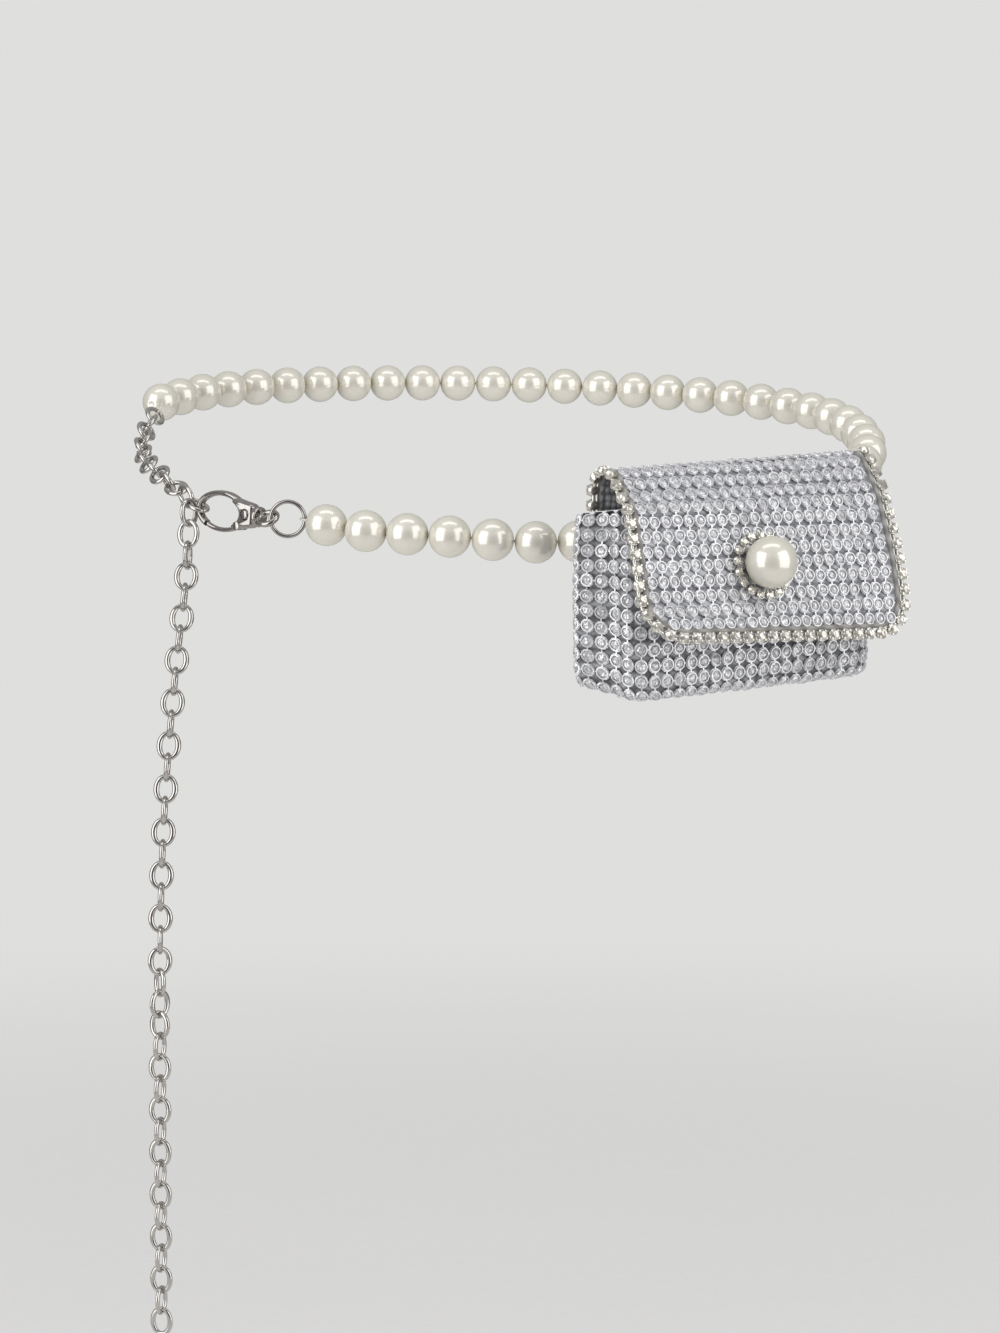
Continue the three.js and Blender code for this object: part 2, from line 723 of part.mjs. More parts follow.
// A strap loop behind the bag, which the string of pearls runs through
function back_loop() {
  const rear = beltAt.y + pearlRadius + strapRoom + strapThickness;
  const front = bagBack + clearance;
  const height = strapHeight / 2;
  const outline = polygon([
    [front, beltAt.z - height], [rear, beltAt.z - height], [rear, beltAt.z + height], [front, beltAt.z + height],
  ]);
  outline.holes.push(new THREE.Path([
    [front + strapThickness, beltAt.z - height + strapThickness],
    [rear - strapThickness, beltAt.z - height + strapThickness],
    [rear - strapThickness, beltAt.z + height - strapThickness],
    [front + strapThickness, beltAt.z + height - strapThickness],
  ].map(([y, z]) => new THREE.Vector2(y, z))));
  const strap = new THREE.ExtrudeGeometry(outline, { depth: strapWidth, bevelEnabled: false });
  const toFrame = new THREE.Matrix4().makeBasis(
    new THREE.Vector3(0, 1, 0), new THREE.Vector3(0, 0, 1), new THREE.Vector3(1, 0, 0),
  );
  return solidOf(strap.translate(0, 0, -strapWidth / 2).applyMatrix4(toFrame).translate(beltAt.x, 0, 0));
}

// The whole object

const pearlColor = 0xe9e4d4;
const steelColor = 0xc9c7c4;
const meshColor = 0xbdbcc6;
const stoneColor = 0xd8d2c4;

const beaded_belt_bag = new THREE.Group();

const belt = new THREE.Group();
belt.rotation.z = -bagTurn;
belt.add(piece("pearl_string_front", pearl_string_front(), pearlColor, 0.25, 0));
belt.add(piece("pearl_string_back", pearl_string_back(), pearlColor, 0.25, 0));
belt.add(piece("waist_chain", waist_chain(), steelColor, 0.2, 1));
belt.add(piece("tail_chain", tail_chain(), steelColor, 0.2, 1));
belt.add(piece("jump_ring", jump_ring(), steelColor, 0.2, 1));
beaded_belt_bag.add(belt);

const clasp = new THREE.Group();
clasp.applyMatrix4(claspFrame);
clasp.add(piece("clasp_hook", clasp_hook(), steelColor, 0.18, 1));
clasp.add(piece("clasp_gate", clasp_gate(), steelColor, 0.18, 1));
clasp.add(piece("clasp_swivel_eye", clasp_swivel_eye(), steelColor, 0.18, 1));
belt.add(clasp);

const bag = new THREE.Group();
bag.add(piece("bag_body", bag_body(), meshColor, 0.35, 0.6));
bag.add(piece("bag_flap", bag_flap(), meshColor, 0.35, 0.6));
bag.add(piece("flap_trim", flap_trim(), stoneColor, 0.2, 0.5));
bag.add(piece("pearl_button", pearl_button(), pearlColor, 0.2, 0));
bag.add(piece("button_halo", button_halo(), stoneColor, 0.2, 0.5));
bag.add(piece("back_loop", back_loop(), meshColor, 0.7, 0));
beaded_belt_bag.add(bag);

export default beaded_belt_bag;
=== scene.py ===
"""Beaded belt bag: a belt of imitation pearls with a snap clasp and an extender chain, which carries
a mini bag of rhinestone mesh. Sizes are in millimetres and become metres where a mesh is placed."""

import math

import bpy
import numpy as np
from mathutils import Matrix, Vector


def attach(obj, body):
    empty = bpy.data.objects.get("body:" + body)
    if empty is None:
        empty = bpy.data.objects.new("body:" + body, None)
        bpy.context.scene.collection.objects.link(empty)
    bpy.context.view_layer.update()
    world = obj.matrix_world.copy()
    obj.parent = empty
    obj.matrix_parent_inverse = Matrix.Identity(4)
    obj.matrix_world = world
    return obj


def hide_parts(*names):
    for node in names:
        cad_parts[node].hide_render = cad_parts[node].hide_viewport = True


bl_info = {
    "name": "Beaded belt bag",
    "version": (1, 0, 0),
    "blender": (4, 5, 0),
    "location": "View3D > Sidebar > Belt bag",
    "description": "Models and finishes a pearl belt with a mini bag of rhinestone mesh",
    "category": "Object",
}

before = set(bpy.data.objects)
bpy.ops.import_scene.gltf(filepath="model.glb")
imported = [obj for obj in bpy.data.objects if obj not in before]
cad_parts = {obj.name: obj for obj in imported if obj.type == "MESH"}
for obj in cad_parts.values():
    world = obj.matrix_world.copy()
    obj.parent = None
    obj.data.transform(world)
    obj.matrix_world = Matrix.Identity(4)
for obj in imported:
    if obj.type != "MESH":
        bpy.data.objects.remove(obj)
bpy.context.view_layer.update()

MM = 0.001

# The waist that the belt lies round, and the pearls on it
WAIST_HALF_WIDTH = 108
WAIST_HALF_DEPTH = 92
PEARL = 12
PEARL_GAP = 0.3
FRONT_PEARLS = 13
PEARL_ROUTE = [
    (-25.7, -20.8), (-19, -22.4), (-6, -23.8), (6, -25.3), (20, -24), (36, -20.5), (60, -11.5),
    (84, -1.1), (106, 8), (130, 14), (160, 18.5), (190, 20.5), (220, 19.5), (240, 17), (252.3, 14),
]

# Extender chain
LINK_LENGTH = 8.8
LINK_WIDTH = 7.2
LINK_WIRE = 1.35
LINK_SIDE = 0.25
LINK_PITCH = LINK_LENGTH - 2 * LINK_WIRE + 0.2
LINK_ROLL = 45
ROLLED_IN_LINKS = 4
CHAIN_ROUTE = [
    (-101, 10.6), (-94, 6), (-87, 1.2), (-79.5, -3), (-69, -6.9), (-59.1, -12.2), (-52.8, -16.9),
]
TAIL_ROUTE = [
    (0, 0, 0), (-0.5, -3.3, -17), (-2.9, -10.7, -43), (-5, -16, -69), (-6.8, -19.2, -101),
    (-7.7, -19.6, -139), (-8.1, -19.6, -241),
]
TAIL_FIRST_TURNS = (50, -20, 80)
TAIL_TWIST = 72
TAIL_TWIST_FROM = 19
TAIL_TWIST_LINKS = 7

# Snap clasp
HOOK_LENGTH = 20.2
HOOK_HEIGHT = 12.2
HOOK_WIRE = 1.5
HOOK_DEPTH = 2.6
BLOCK_END = HOOK_LENGTH - HOOK_WIRE + 6.3 - 1.3
BLOCK_HEIGHT = 9.4
BLOCK_END_HEIGHT = 6.8
BLOCK_DEPTH = 4.4
GATE_DEPTH = 1.7
GATE_NOSE = 4.1
GATE_BARREL = 2.6
HINGE_PIN = 0.9
RIVET = 2.9
RIVET_STEP = 3.3
RIVET_RISE = 0.3
HINGE_X = HOOK_LENGTH - 2.6
HINGE_Z = -3.4
HINGE_AT = (HINGE_X, HINGE_Z)
CUT_WIDTH = 5
COLLAR = 6
COLLAR_LENGTH = 1.6
STEM = 1.5
STEM_LENGTH = 3.2
EYE_LENGTH = 7.4
EYE_WIDTH = 6.8
EYE_WIRE = 1.7
EYE_TILT = 50
RING = 11.2
RING_WIRE = 1.2
RING_TURN = 6
CLASP_DROP = 2.8
CLASP_AIM_TURN = -35.5

# Bag
BAG_BELT_TURN = 36
BAG_SIDE_STEP = 10.6
BELT_TO_BAG = 2.3
BAG_LEAN = 2.9
BAG_BACK_WIDTH = 101
BAG_FRONT_WIDTH = 86
BAG_DEPTH = 18
BAG_HEIGHT = 48
BAG_FRONT_SAG = 5.5
BAG_FRONT_RADIUS = 7
BAG_BACK_RADIUS = 1.5
BAG_BULGE = 0.5
RIM_HEIGHT = -14
FLAP_WIDTH = 86
FLAP_SIDE_STEP = 1.1
FLAP_THICKNESS = 1.7
FLAP_FOLD_RISE = 12
FLAP_DROP = (43.5, 49.4)
FLAP_REACH = 29
FLAP_CORNER = 8
TRIM = 3.3
TRIM_PITCH = 4.4
BUTTON = 14.5
BUTTON_STAND = 5.5
BUTTON_DOWN = 0.735
BUTTON_ACROSS = 0.45
HALO = 19.8
HALO_STONE = 2.7
HALO_STONES = 17
STRAP_WIDTH = 8
STRAP_THICKNESS = 1.2
STRAP_ROOM = 0.5
STRAP_HEIGHT = 17.2

CLEARANCE = 0.3

# Rows of the bag's body: how far down, and the share of its depth and of its width
BODY_ROWS = (
    (0, 0.78, 0.98), (0.22, 0.88, 1), (0.55, 0.97, 1),
    (0.86, 1, 0.995), (0.955, 0.96, 0.98), (1, 0.78, 0.94),
)

# Rows of the flap: how far it has fallen, and how far it stands off the back, at its left and right
FLAP_ROWS = (
    (0.23, 0, 0), (0.1, 0.015, 0.015), (0.025, 0.11, 0.11), (0, 0.26, 0.24), (0.045, 0.38, 0.35),
    (0.13, 0.47, 0.45), (0.24, 0.62, 0.58), (0.4, 0.7, 0.69), (0.62, 0.79, 0.83), (0.79, 0.85, 0.9),
    (0.92, 0.97, 0.94), (1, 1.04, 0.96),
)


# Curves and places

def on_waist(line, turn, height):
    angle = math.radians(turn)
    return Vector((line[0] * math.sin(angle), -line[1] * math.cos(angle), height))


class Route:
    """A smooth curve through a few chosen points, read by the distance along it."""

    def __init__(self, points):
        points = np.array([tuple(point) for point in points], float)
        ends = [2 * points[0] - points[1], *points, 2 * points[-1] - points[-2]]
        share = np.linspace(0, 1, 60, endpoint=False)[:, None]
        pieces = []
        for a, b, c, d in zip(ends, ends[1:], ends[2:], ends[3:]):
            before, span, after = (math.sqrt(np.linalg.norm(q - p)) for p, q in ((a, b), (b, c), (c, d)))
            leave = ((b - a) / before - (c - a) / (before + span) + (c - b) / span) * span
            arrive = ((c - b) / span - (d - b) / (span + after) + (d - c) / after) * span
            bend = 3 * (c - b) - 2 * leave - arrive
            pieces.append(b + leave * share + bend * share**2 + (2 * (b - c) + leave + arrive) * share**3)
        self.line = np.vstack([*pieces, points[-1:]])
        steps = np.linalg.norm(np.diff(self.line, axis=0), axis=1)
        self.far = np.concatenate([[0], np.cumsum(steps)])
        self.length = float(self.far[-1])

    def many(self, distances):
        return np.stack([np.interp(distances, self.far, column) for column in self.line.T], axis=-1)

    def along(self, distance):
        step = 0.2
        middle = min(max(distance, step), self.length - step)
        before, after = self.many([middle - step, middle + step])
        return Vector(after - before).normalized()

    def at(self, distance):
        held = min(max(distance, 0), self.length)
        return Vector(self.many([held])[0]) + self.along(held) * (distance - held)


class Wall:
    """A curved wall, as a grid of points. Flat places are laid on it: X along, Y up and Z off it."""

    def __init__(self, grid, left, across, along):
        self.grid, self.left, self.across, self.along = grid, left, across, along
        facing = np.cross(np.gradient(grid, axis=0), np.gradient(grid, axis=1))
        self.facing = facing / np.linalg.norm(facing, axis=2, keepdims=True)

    def lay(self, flat):
        rows, columns = self.grid.shape[:2]
        column = np.clip((flat[:, 0] - self.left) / self.across, 0, 1) * (columns - 1)
        row = np.clip(-flat[:, 1] / self.along, 0, 1) * (rows - 1)
        i = np.minimum(row.astype(int), rows - 2)
        j = np.minimum(column.astype(int), columns - 2)
        s, t = (row - i)[:, None], (column - j)[:, None]

        def between(values):
            upper = values[i, j] * (1 - t) + values[i, j + 1] * t
            lower = values[i + 1, j] * (1 - t) + values[i + 1, j + 1] * t
            return upper * (1 - s) + lower * s

        return between(self.grid) + between(self.facing) * flat[:, 2:3]

    def frame_at(self, x, y, off=0.0):
        """A frame on the wall, in metres, with Z facing off it."""
        step = 0.5
        at, right, upper = self.lay(np.array([[x, y, off], [x + step, y, off], [x, y + step, off]]))
        return run_frame(Vector(at), Vector(right - at), Vector(right - at).cross(Vector(upper - at)))


def run_frame(at, along, normal):
    """A frame in metres with X along the run and Z along the normal."""
    x = along.normalized()
    z = (normal - x * normal.dot(x)).normalized()
    y = z.cross(x)
    matrix = Matrix((x, y, z)).transposed().to_4x4()
    matrix.translation = at * MM
    return matrix


PEARL_LINE = (WAIST_HALF_WIDTH + PEARL / 2, WAIST_HALF_DEPTH + PEARL / 2)
CHAIN_STAND = LINK_WIDTH / 2 * math.cos(math.radians(LINK_ROLL)) + CLEARANCE
CHAIN_LINE = (WAIST_HALF_WIDTH + CHAIN_STAND, WAIST_HALF_DEPTH + CHAIN_STAND)
BAG_TURN = math.atan2(
    PEARL_LINE[1] * math.sin(math.radians(BAG_BELT_TURN)),
    PEARL_LINE[0] * math.cos(math.radians(BAG_BELT_TURN)),
)
BELT = Matrix.Rotation(-BAG_TURN, 4, "Z")
UP = Vector((0, 0, 1))

BELT_AT = BELT @ on_waist(PEARL_LINE, BAG_BELT_TURN, dict(PEARL_ROUTE)[BAG_BELT_TURN])
BAG_MIDDLE = BELT_AT.x - BAG_SIDE_STEP
BAG_BACK = BELT_AT.y - PEARL / 2 - BELT_TO_BAG

PEARL_CURVE = Route([on_waist(PEARL_LINE, *place) for place in PEARL_ROUTE])
PEARL_COUNT = round(PEARL_CURVE.length / (PEARL + PEARL_GAP)) + 1
PEARL_PITCH = PEARL_CURVE.length / (PEARL_COUNT - 1)

HOOK_WIRE_AT = on_waist(CHAIN_LINE, *CHAIN_ROUTE[-1])
CLASP_AIM = on_waist(CHAIN_LINE, CLASP_AIM_TURN, HOOK_WIRE_AT.z - CLASP_DROP)
CLASP_ALONG = (CLASP_AIM - HOOK_WIRE_AT).normalized()
CLASP_ORIGIN = HOOK_WIRE_AT - CLASP_ALONG * HOOK_WIRE / 2
CLASP = BELT @ run_frame(CLASP_ORIGIN, CLASP_ALONG, UP)
COLLAR_START = BLOCK_END + CLEARANCE
EYE_START = COLLAR_START + COLLAR_LENGTH - EYE_WIRE / 2
RING_SEAT = EYE_START + EYE_LENGTH - EYE_WIRE - CLEARANCE - RING_WIRE / 2
RING_ACROSS = Vector((math.cos(math.radians(RING_TURN)), -math.sin(math.radians(RING_TURN)), 0))
RING_RADIUS = (RING - RING_WIRE) / 2
RING_MIDDLE = CLASP_ORIGIN + CLASP_ALONG * RING_SEAT + RING_ACROSS * RING_RADIUS
RING_RIGHT = RING_MIDDLE + RING_ACROSS * RING_RADIUS


def leant(x, z):
    return z + (x - BAG_MIDDLE) * math.tan(math.radians(BAG_LEAN))


def body_place(x, y, down):
    """A place on the body, from the steps across and back and the share of the way down."""
    fall = BAG_HEIGHT + BAG_FRONT_SAG * np.clip(-y / BAG_DEPTH, 0, 1)
    x = BAG_MIDDLE + x
    return np.stack([x, BAG_BACK + y, leant(x, RIM_HEIGHT - down * fall)], axis=-1)


def body_row(down, columns):
    """One row round the sides and the front, evenly spaced, from the back's left end to its right end."""
    downs, depths, widths = zip(*BODY_ROWS)
    depth, width = np.interp(down, downs, depths), np.interp(down, downs, widths)
    deep = BAG_DEPTH * depth
    back = BAG_BACK_WIDTH / 2 * width
    front = BAG_FRONT_WIDTH / 2 * width + (BAG_BACK_WIDTH - BAG_FRONT_WIDTH) / 2 * (1 - depth)
    corner = [
        (-front + BAG_FRONT_RADIUS * (1 - math.cos(turn)), BAG_FRONT_RADIUS * (1 - math.sin(turn)) - deep)
        for turn in np.radians([0, 30, 60, 90])
    ]
    left = [
        (-back + BAG_BACK_RADIUS, 0), (-back + BAG_BACK_RADIUS * 0.3, -BAG_BACK_RADIUS * 0.3),
        (-back, -BAG_BACK_RADIUS), *corner, (-front * 0.4, -deep - BAG_BULGE * 0.6),
    ]
    right = [(-x, y) for x, y in reversed(left)]
    outline = Route([*left, (0, -deep - BAG_BULGE), *right])
    return outline.many(np.linspace(0, outline.length, columns)), outline.length


def body_walls():
    """The sides with the front, the back and the bottom."""
    columns = 161
    even_downs = np.linspace(0, 1, 52)
    downs = np.concatenate([np.linspace(0, 0.84, 14), np.linspace(0.87, 1, 12)])
    rows = [body_row(down, columns) for down in downs]
    wrap = np.array([body_place(xy[:, 0], xy[:, 1], down) for down, (xy, _) in zip(downs, rows)])
    wrap = np.array([
        [np.interp(even_downs, downs, wrap[:, column, axis]) for axis in range(3)]
        for column in range(columns)
    ])
    wrap = wrap.transpose(2, 0, 1)
    length = rows[len(rows) // 2][1]
    front_height = BAG_HEIGHT + BAG_FRONT_SAG
    back_shares, bottom_shares = np.linspace(1, 0, 61), np.linspace(0, 1, 9)
    back = wrap[:, :1] + back_shares[None, :, None] * (wrap[:, -1:] - wrap[:, :1])
    lowest = rows[-1][0]
    bottom = np.array([body_place(lowest[:, 0], lowest[:, 1] * (1 - share), 1) for share in bottom_shares])
    back_width = BAG_BACK_WIDTH - 2 * BAG_BACK_RADIUS
    return (
        Wall(wrap, 0, length, front_height),
        Wall(back, 0, back_width, BAG_HEIGHT),
        Wall(bottom, 0, rows[-1][1], BAG_DEPTH * BODY_ROWS[-1][1]),
    )


FLAP_FRINGE = 5
FLAP_MARGINS = (0.3, 2.4)
FOLD_HEIGHT = RIM_HEIGHT + FLAP_FOLD_RISE


def flap_side(drop, side):
    back_fall = FLAP_FOLD_RISE - CLEARANCE
    return Route([
        (BAG_BACK - FLAP_REACH * row[side], FOLD_HEIGHT - (back_fall if index == 0 else drop * row[0]))
        for index, row in enumerate(FLAP_ROWS)
    ])


FLAP_SIDES = [flap_side(drop, side) for side, drop in enumerate(FLAP_DROP, start=1)]
FLAP_LENGTH = sum(side.length for side in FLAP_SIDES) / 2


def flap_wall():
    """The flap's outer face, a little wider and longer than the flap, so that its trim lies on it too."""
    alongs = np.arange(0, FLAP_LENGTH + FLAP_FRINGE, 0.8)
    sides = []
    for side in FLAP_SIDES:
        places = [side.at(share * side.length) if share <= 1
                  else side.at(side.length) + side.along(side.length) * (share - 1) * FLAP_LENGTH
                  for share in alongs / FLAP_LENGTH]
        sides.append(np.array([tuple(place) for place in places]))
    half = FLAP_WIDTH / 2 + FLAP_FRINGE
    shares = np.linspace(-half, half, 41) / FLAP_WIDTH + 0.5
    grid = []
    for left, right in zip(*sides):
        y, z = (left[:, None] * (1 - shares) + right[:, None] * shares)
        x = BAG_MIDDLE + FLAP_SIDE_STEP + (shares - 0.5) * FLAP_WIDTH
        grid.append(np.stack([x, y, leant(x, z)], axis=-1))
    return Wall(np.array(grid), -half, 2 * half, float(alongs[-1]))


WRAP_WALL, BACK_WALL, BOTTOM_WALL = body_walls()
FLAP_WALL = flap_wall()
BUTTON_PLACE = ((BUTTON_ACROSS - 0.5) * FLAP_WIDTH, -BUTTON_DOWN * FLAP_LENGTH)


# Modelling helpers

def select_only(*objects):
    if bpy.context.object and bpy.context.object.mode != "OBJECT":
        bpy.ops.object.mode_set(mode="OBJECT")
    bpy.ops.object.select_all(action="DESELECT")
    for obj in objects:
        obj.select_set(True)
    if objects:
        bpy.context.view_layer.objects.active = objects[0]


def added(name):
    """The primitive that was just added, with its place in its mesh."""
    obj = bpy.context.object
    obj.name = obj.data.name = name
    select_only(obj)
    bpy.ops.object.transform_apply(location=True, rotation=True, scale=True)
    return obj


def modify(obj, kind, **settings):
    select_only(obj)
    bpy.ops.object.modifier_add(type=kind)
    modifier = obj.modifiers[-1]
    for name, value in settings.items():
        setattr(modifier, name, value)
    bpy.ops.object.modifier_apply(modifier=modifier.name)


def bevel(obj, width, segments, degrees=30):
    """Rounds the edges that turn by more than the angle. The width is in millimetres."""
    modify(obj, "BEVEL", width=width * MM, segments=segments, limit_method="ANGLE",
           angle_limit=math.radians(degrees))


def cut(obj, other, operation="DIFFERENCE"):
    """Joins, cuts or keeps what is common with another piece, which is used up."""
    modify(obj, "BOOLEAN", operation=operation, object=other, solver="EXACT")
    bpy.data.objects.remove(other)


def object_mode():
    bpy.ops.object.mode_set(mode="OBJECT")


def edit_mode():
    bpy.ops.object.mode_set(mode="EDIT")


def clear_choice(obj, kind):
    """Leaves none of a piece's points, edges or faces selected, and sets which kind is selected next."""
    select_only(obj)
    edit_mode()
    bpy.ops.mesh.select_all(action="DESELECT")
    bpy.ops.mesh.select_mode(type=kind)
    object_mode()


def edit_faces(obj, chosen):
    """Enters edit mode with the faces selected for which chosen(centre, normal) holds."""
    clear_choice(obj, "FACE")
    for face in obj.data.polygons:
        face.select = chosen(face.center, face.normal)
    edit_mode()


def edit_points(obj, chosen):
    """Enters edit mode with the points selected for which chosen(place) holds."""
    clear_choice(obj, "VERT")
    for point in obj.data.vertices:
        point.select = chosen(point.co)
    edit_mode()


def faces_up(centre, normal):
    return normal.z > 0.9


def faces_down(centre, normal):
    return normal.z < -0.9


def open_below(obj):
    """Deletes the faces that face down, where a piece lies on another."""
    edit_faces(obj, faces_down)
    bpy.ops.mesh.delete(type="FACE")
    object_mode()


def smooth(obj, degrees=35):
    select_only(obj)
    bpy.ops.object.shade_smooth_by_angle(angle=math.radians(degrees))


def places_of(obj):
    places = np.empty(len(obj.data.vertices) * 3)
    obj.data.vertices.foreach_get("co", places)
    return places.reshape(-1, 3)


def set_places(obj, places):
    obj.data.vertices.foreach_set("co", places.ravel())
    obj.data.update()


def joined(name, objects):
    select_only(*objects)
    bpy.ops.object.join()
    objects[0].name = objects[0].data.name = name
    return objects[0]


def copies(name, model, matrices):
    """Copies of one model, each with its own mesh, joined to one piece."""
    made = []
    for matrix in matrices:
        copy = model.copy()
        copy.data = model.data.copy()
        copy.data.transform(matrix)
        bpy.context.collection.objects.link(copy)
        made.append(copy)
    bpy.data.objects.remove(model)
    return joined(name, made)


def finish_piece(obj, slot, *nodes, body="belt_and_bag"):
    """Lets a piece ride on its body, and hides the CAD nodes that it stands for. The slot is not used."""
    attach(obj, body)
    if nodes:
        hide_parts(*nodes)


def give(obj, *materials):
    obj.data.materials.clear()
    for material in materials:
        obj.data.materials.append(material)


# Materials

def colour(hex_code):
    """A colour written as sRGB hex, as linear RGBA."""
    shares = [int(hex_code[i:i + 2], 16) / 255 for i in (1, 3, 5)]
    return tuple(s / 12.92 if s <= 0.04045 else ((s + 0.055) / 1.055) ** 2.4 for s in shares) + (1.0,)


def add_node(tree, kind, inputs=None, **settings):
    """Adds a node with its settings. Inputs are values, or the outputs that they are linked to."""
    node = tree.nodes.new(kind)
    for name, value in settings.items():
        setattr(node, name, value)
    for name, value in (inputs or {}).items():
        if isinstance(value, bpy.types.NodeSocket):
            tree.links.new(value, node.inputs[name])
        else:
            node.inputs[name].default_value = value
    return node


def new_material(name):
    """A material with its new node tree and Object coordinates, or with neither if it was made before."""
    if name in bpy.data.materials:
        return bpy.data.materials[name], None, None
    material = bpy.data.materials.new(name)
    material.use_nodes = True
    tree = material.node_tree
    tree.nodes.clear()
    return material, tree, add_node(tree, "ShaderNodeTexCoord").outputs["Object"]


def add_surface(tree, share, first, second, inputs, bump=None, height=None):
    """A surface coloured between two colours by a share. Bump is a strength and a depth in millimetres."""
    tone = add_node(tree, "ShaderNodeMix", {
        "Factor": share, "A": colour(first), "B": colour(second),
    }, data_type="RGBA")
    inputs = {"Base Color": tone.outputs["Result"], **inputs}
    if bump:
        strength, depth = bump
        relief = add_node(tree, "ShaderNodeBump", {
            "Height": share if height is None else height, "Strength": strength, "Distance": depth * MM,
        })
        inputs["Normal"] = relief.outputs["Normal"]
    surface = add_node(tree, "ShaderNodeBsdfPrincipled", inputs)
    add_node(tree, "ShaderNodeOutputMaterial", {"Surface": surface.outputs["BSDF"]})


def per_mm(size):
    """A texture scale for Object coordinates in metres, from a feature's size in millimetres."""
    return 1 / (size * MM)


def wave_scale(size):
    """A wave texture's scale, less the radians by which its bands turn in each unit along an axis."""
    radians_in_a_unit = 20
    return per_mm(size) / radians_in_a_unit


def imitation_pearl():
    """Lacquered plastic bead: a soft ivory body under clear, faintly iridescent lacquer with a pale rim."""
    material, tree, place = new_material("lacquered_imitation_pearl")
    if tree:
        cloud = add_node(tree, "ShaderNodeTexNoise", {"Vector": place, "Scale": per_mm(9), "Detail": 2.0})
        add_surface(tree, cloud.outputs["Fac"], "#e8e4d7", "#f2efe6", {
            "Roughness": 0.32, "Metallic": 0.2,
            "Coat Weight": 1.0, "Coat Roughness": 0.03, "Coat IOR": 2.2, "Coat Tint": colour("#fbfaf6"),
            "Sheen Weight": 0.7, "Sheen Roughness": 0.35, "Sheen Tint": colour("#f4f1d2"),
        })
    return material


def polished_nickel(name="polished_nickel_plate", dark="#8d8884", light="#c2beb9"):
    """Nickel plate on steel, tumbled bright: sharp reflections, broken by faint wear."""
    material, tree, place = new_material(name)
    if tree:
        wear = add_node(tree, "ShaderNodeTexNoise", {"Vector": place, "Scale": per_mm(2.5), "Detail": 5.0})
        rough = add_node(tree, "ShaderNodeMapRange", {
            "Value": wear.outputs["Fac"], "From Min": 0.35, "From Max": 0.75,
            "To Min": 0.04, "To Max": 0.13,
        })
        add_surface(tree, wear.outputs["Fac"], dark, light, {
            "Metallic": 1.0, "Roughness": rough.outputs["Result"],
        })
    return material


def silver_cup():
    """Bright silver coat on the moulded cups and the short links between them: satin, almost white."""
    material, tree, place = new_material("silver_coated_cup")
    if tree:
        patch = add_node(tree, "ShaderNodeTexNoise", {"Vector": place, "Scale": per_mm(6), "Detail": 3.0})
        add_surface(tree, patch.outputs["Fac"], "#e6e6e8", "#f6f6f7", {
            "Metallic": 0.55, "Roughness": 0.32, "Coat Weight": 0.5, "Coat Roughness": 0.08,
        })
    return material


def clear_stone():
    """Cut resin stone with a foil behind it, under a clear top. Its colour holds painted glints: white
    spots on grey facets.
    """
    material, tree, place = new_material("clear_stone_painted_glints")
    if tree:
        painted_glint = add_node(tree, "ShaderNodeTexVoronoi", {"Vector": place, "Scale": per_mm(0.9)})
        patch = add_node(tree, "ShaderNodeTexNoise", {"Vector": place, "Scale": per_mm(3), "Detail": 2.0})
        mixed = add_node(tree, "ShaderNodeMath", {
            0: painted_glint.outputs["Distance"], 1: patch.outputs["Fac"],
        }, operation="ADD")
        share = add_node(tree, "ShaderNodeMapRange", {
            "Value": mixed.outputs["Value"], "From Min": 0.5, "From Max": 1.2,
        })
        # Painted glints: the colour is white near each Voronoi cell's centre and grey away from it, in
        # place of light off the facets.
        add_surface(tree, share.outputs["Result"], "#ffffff", "#c3c4c7", {
            "Metallic": 0.4, "Roughness": 0.16, "Coat Weight": 1.0, "Coat Roughness": 0.03,
        }, (0.9, 0.4), painted_glint.outputs["Distance"])
    return material


def warm_cup():
    """Warm silver plate of the cup chain: brighter and yellower than the mesh."""
    material, tree, place = new_material("warm_silver_cup")
    if tree:
        patch = add_node(tree, "ShaderNodeTexNoise", {"Vector": place, "Scale": per_mm(3), "Detail": 4.0})
        add_surface(tree, patch.outputs["Fac"], "#cdcac1", "#e6e3da", {"Metallic": 0.8, "Roughness": 0.22})
    return material


def champagne_stone():
    """Cut glass chaton with a foil back. Its colour holds painted glints, champagne spots, with painted
    dark facets between them.
    """
    material, tree, place = new_material("champagne_chaton_painted_glints")
    if tree:
        painted_glint = add_node(tree, "ShaderNodeTexVoronoi", {"Vector": place, "Scale": per_mm(1.4)})
        # Painted glints and painted dark facets: pale near each Voronoi cell's centre, darker away from it.
        add_surface(tree, painted_glint.outputs["Distance"], "#f1eee6", "#aaa599", {
            "Metallic": 0.6, "Roughness": 0.08, "Coat Weight": 1.0, "Coat Roughness": 0.03,
        }, (0.35, 0.4))
    return material


def woven_cloth(name, dark, light, thread=0.45):
    """Plain woven cloth: dull grey threads with flecks, drawn coarser than they are so that they show."""
    material, tree, place = new_material(name)
    if tree:
        rib, cross = (
            add_node(tree, "ShaderNodeTexWave", {
                "Vector": place, "Scale": wave_scale(thread), "Distortion": 0.6, "Detail": 1.0,
            }, bands_direction=way).outputs["Fac"]
            for way in ("DIAGONAL", "Z")
        )
        weave = add_node(tree, "ShaderNodeMath", {0: rib, 1: cross}, operation="MULTIPLY").outputs["Value"]
        fleck = add_node(tree, "ShaderNodeTexNoise", {"Vector": place, "Scale": per_mm(1.3), "Detail": 3.0})
        mottled = add_node(tree, "ShaderNodeMath", {0: weave, 1: fleck.outputs["Fac"]}, operation="ADD")
        share = add_node(tree, "ShaderNodeMapRange", {
            "Value": mottled.outputs["Value"], "From Min": 0.45, "From Max": 1.15,
        })
        add_surface(tree, share.outputs["Result"], dark, light, {
            "Roughness": 0.7, "Sheen Weight": 0.2, "Sheen Roughness": 0.4,
        }, (0.5, 0.2), weave)
    return material


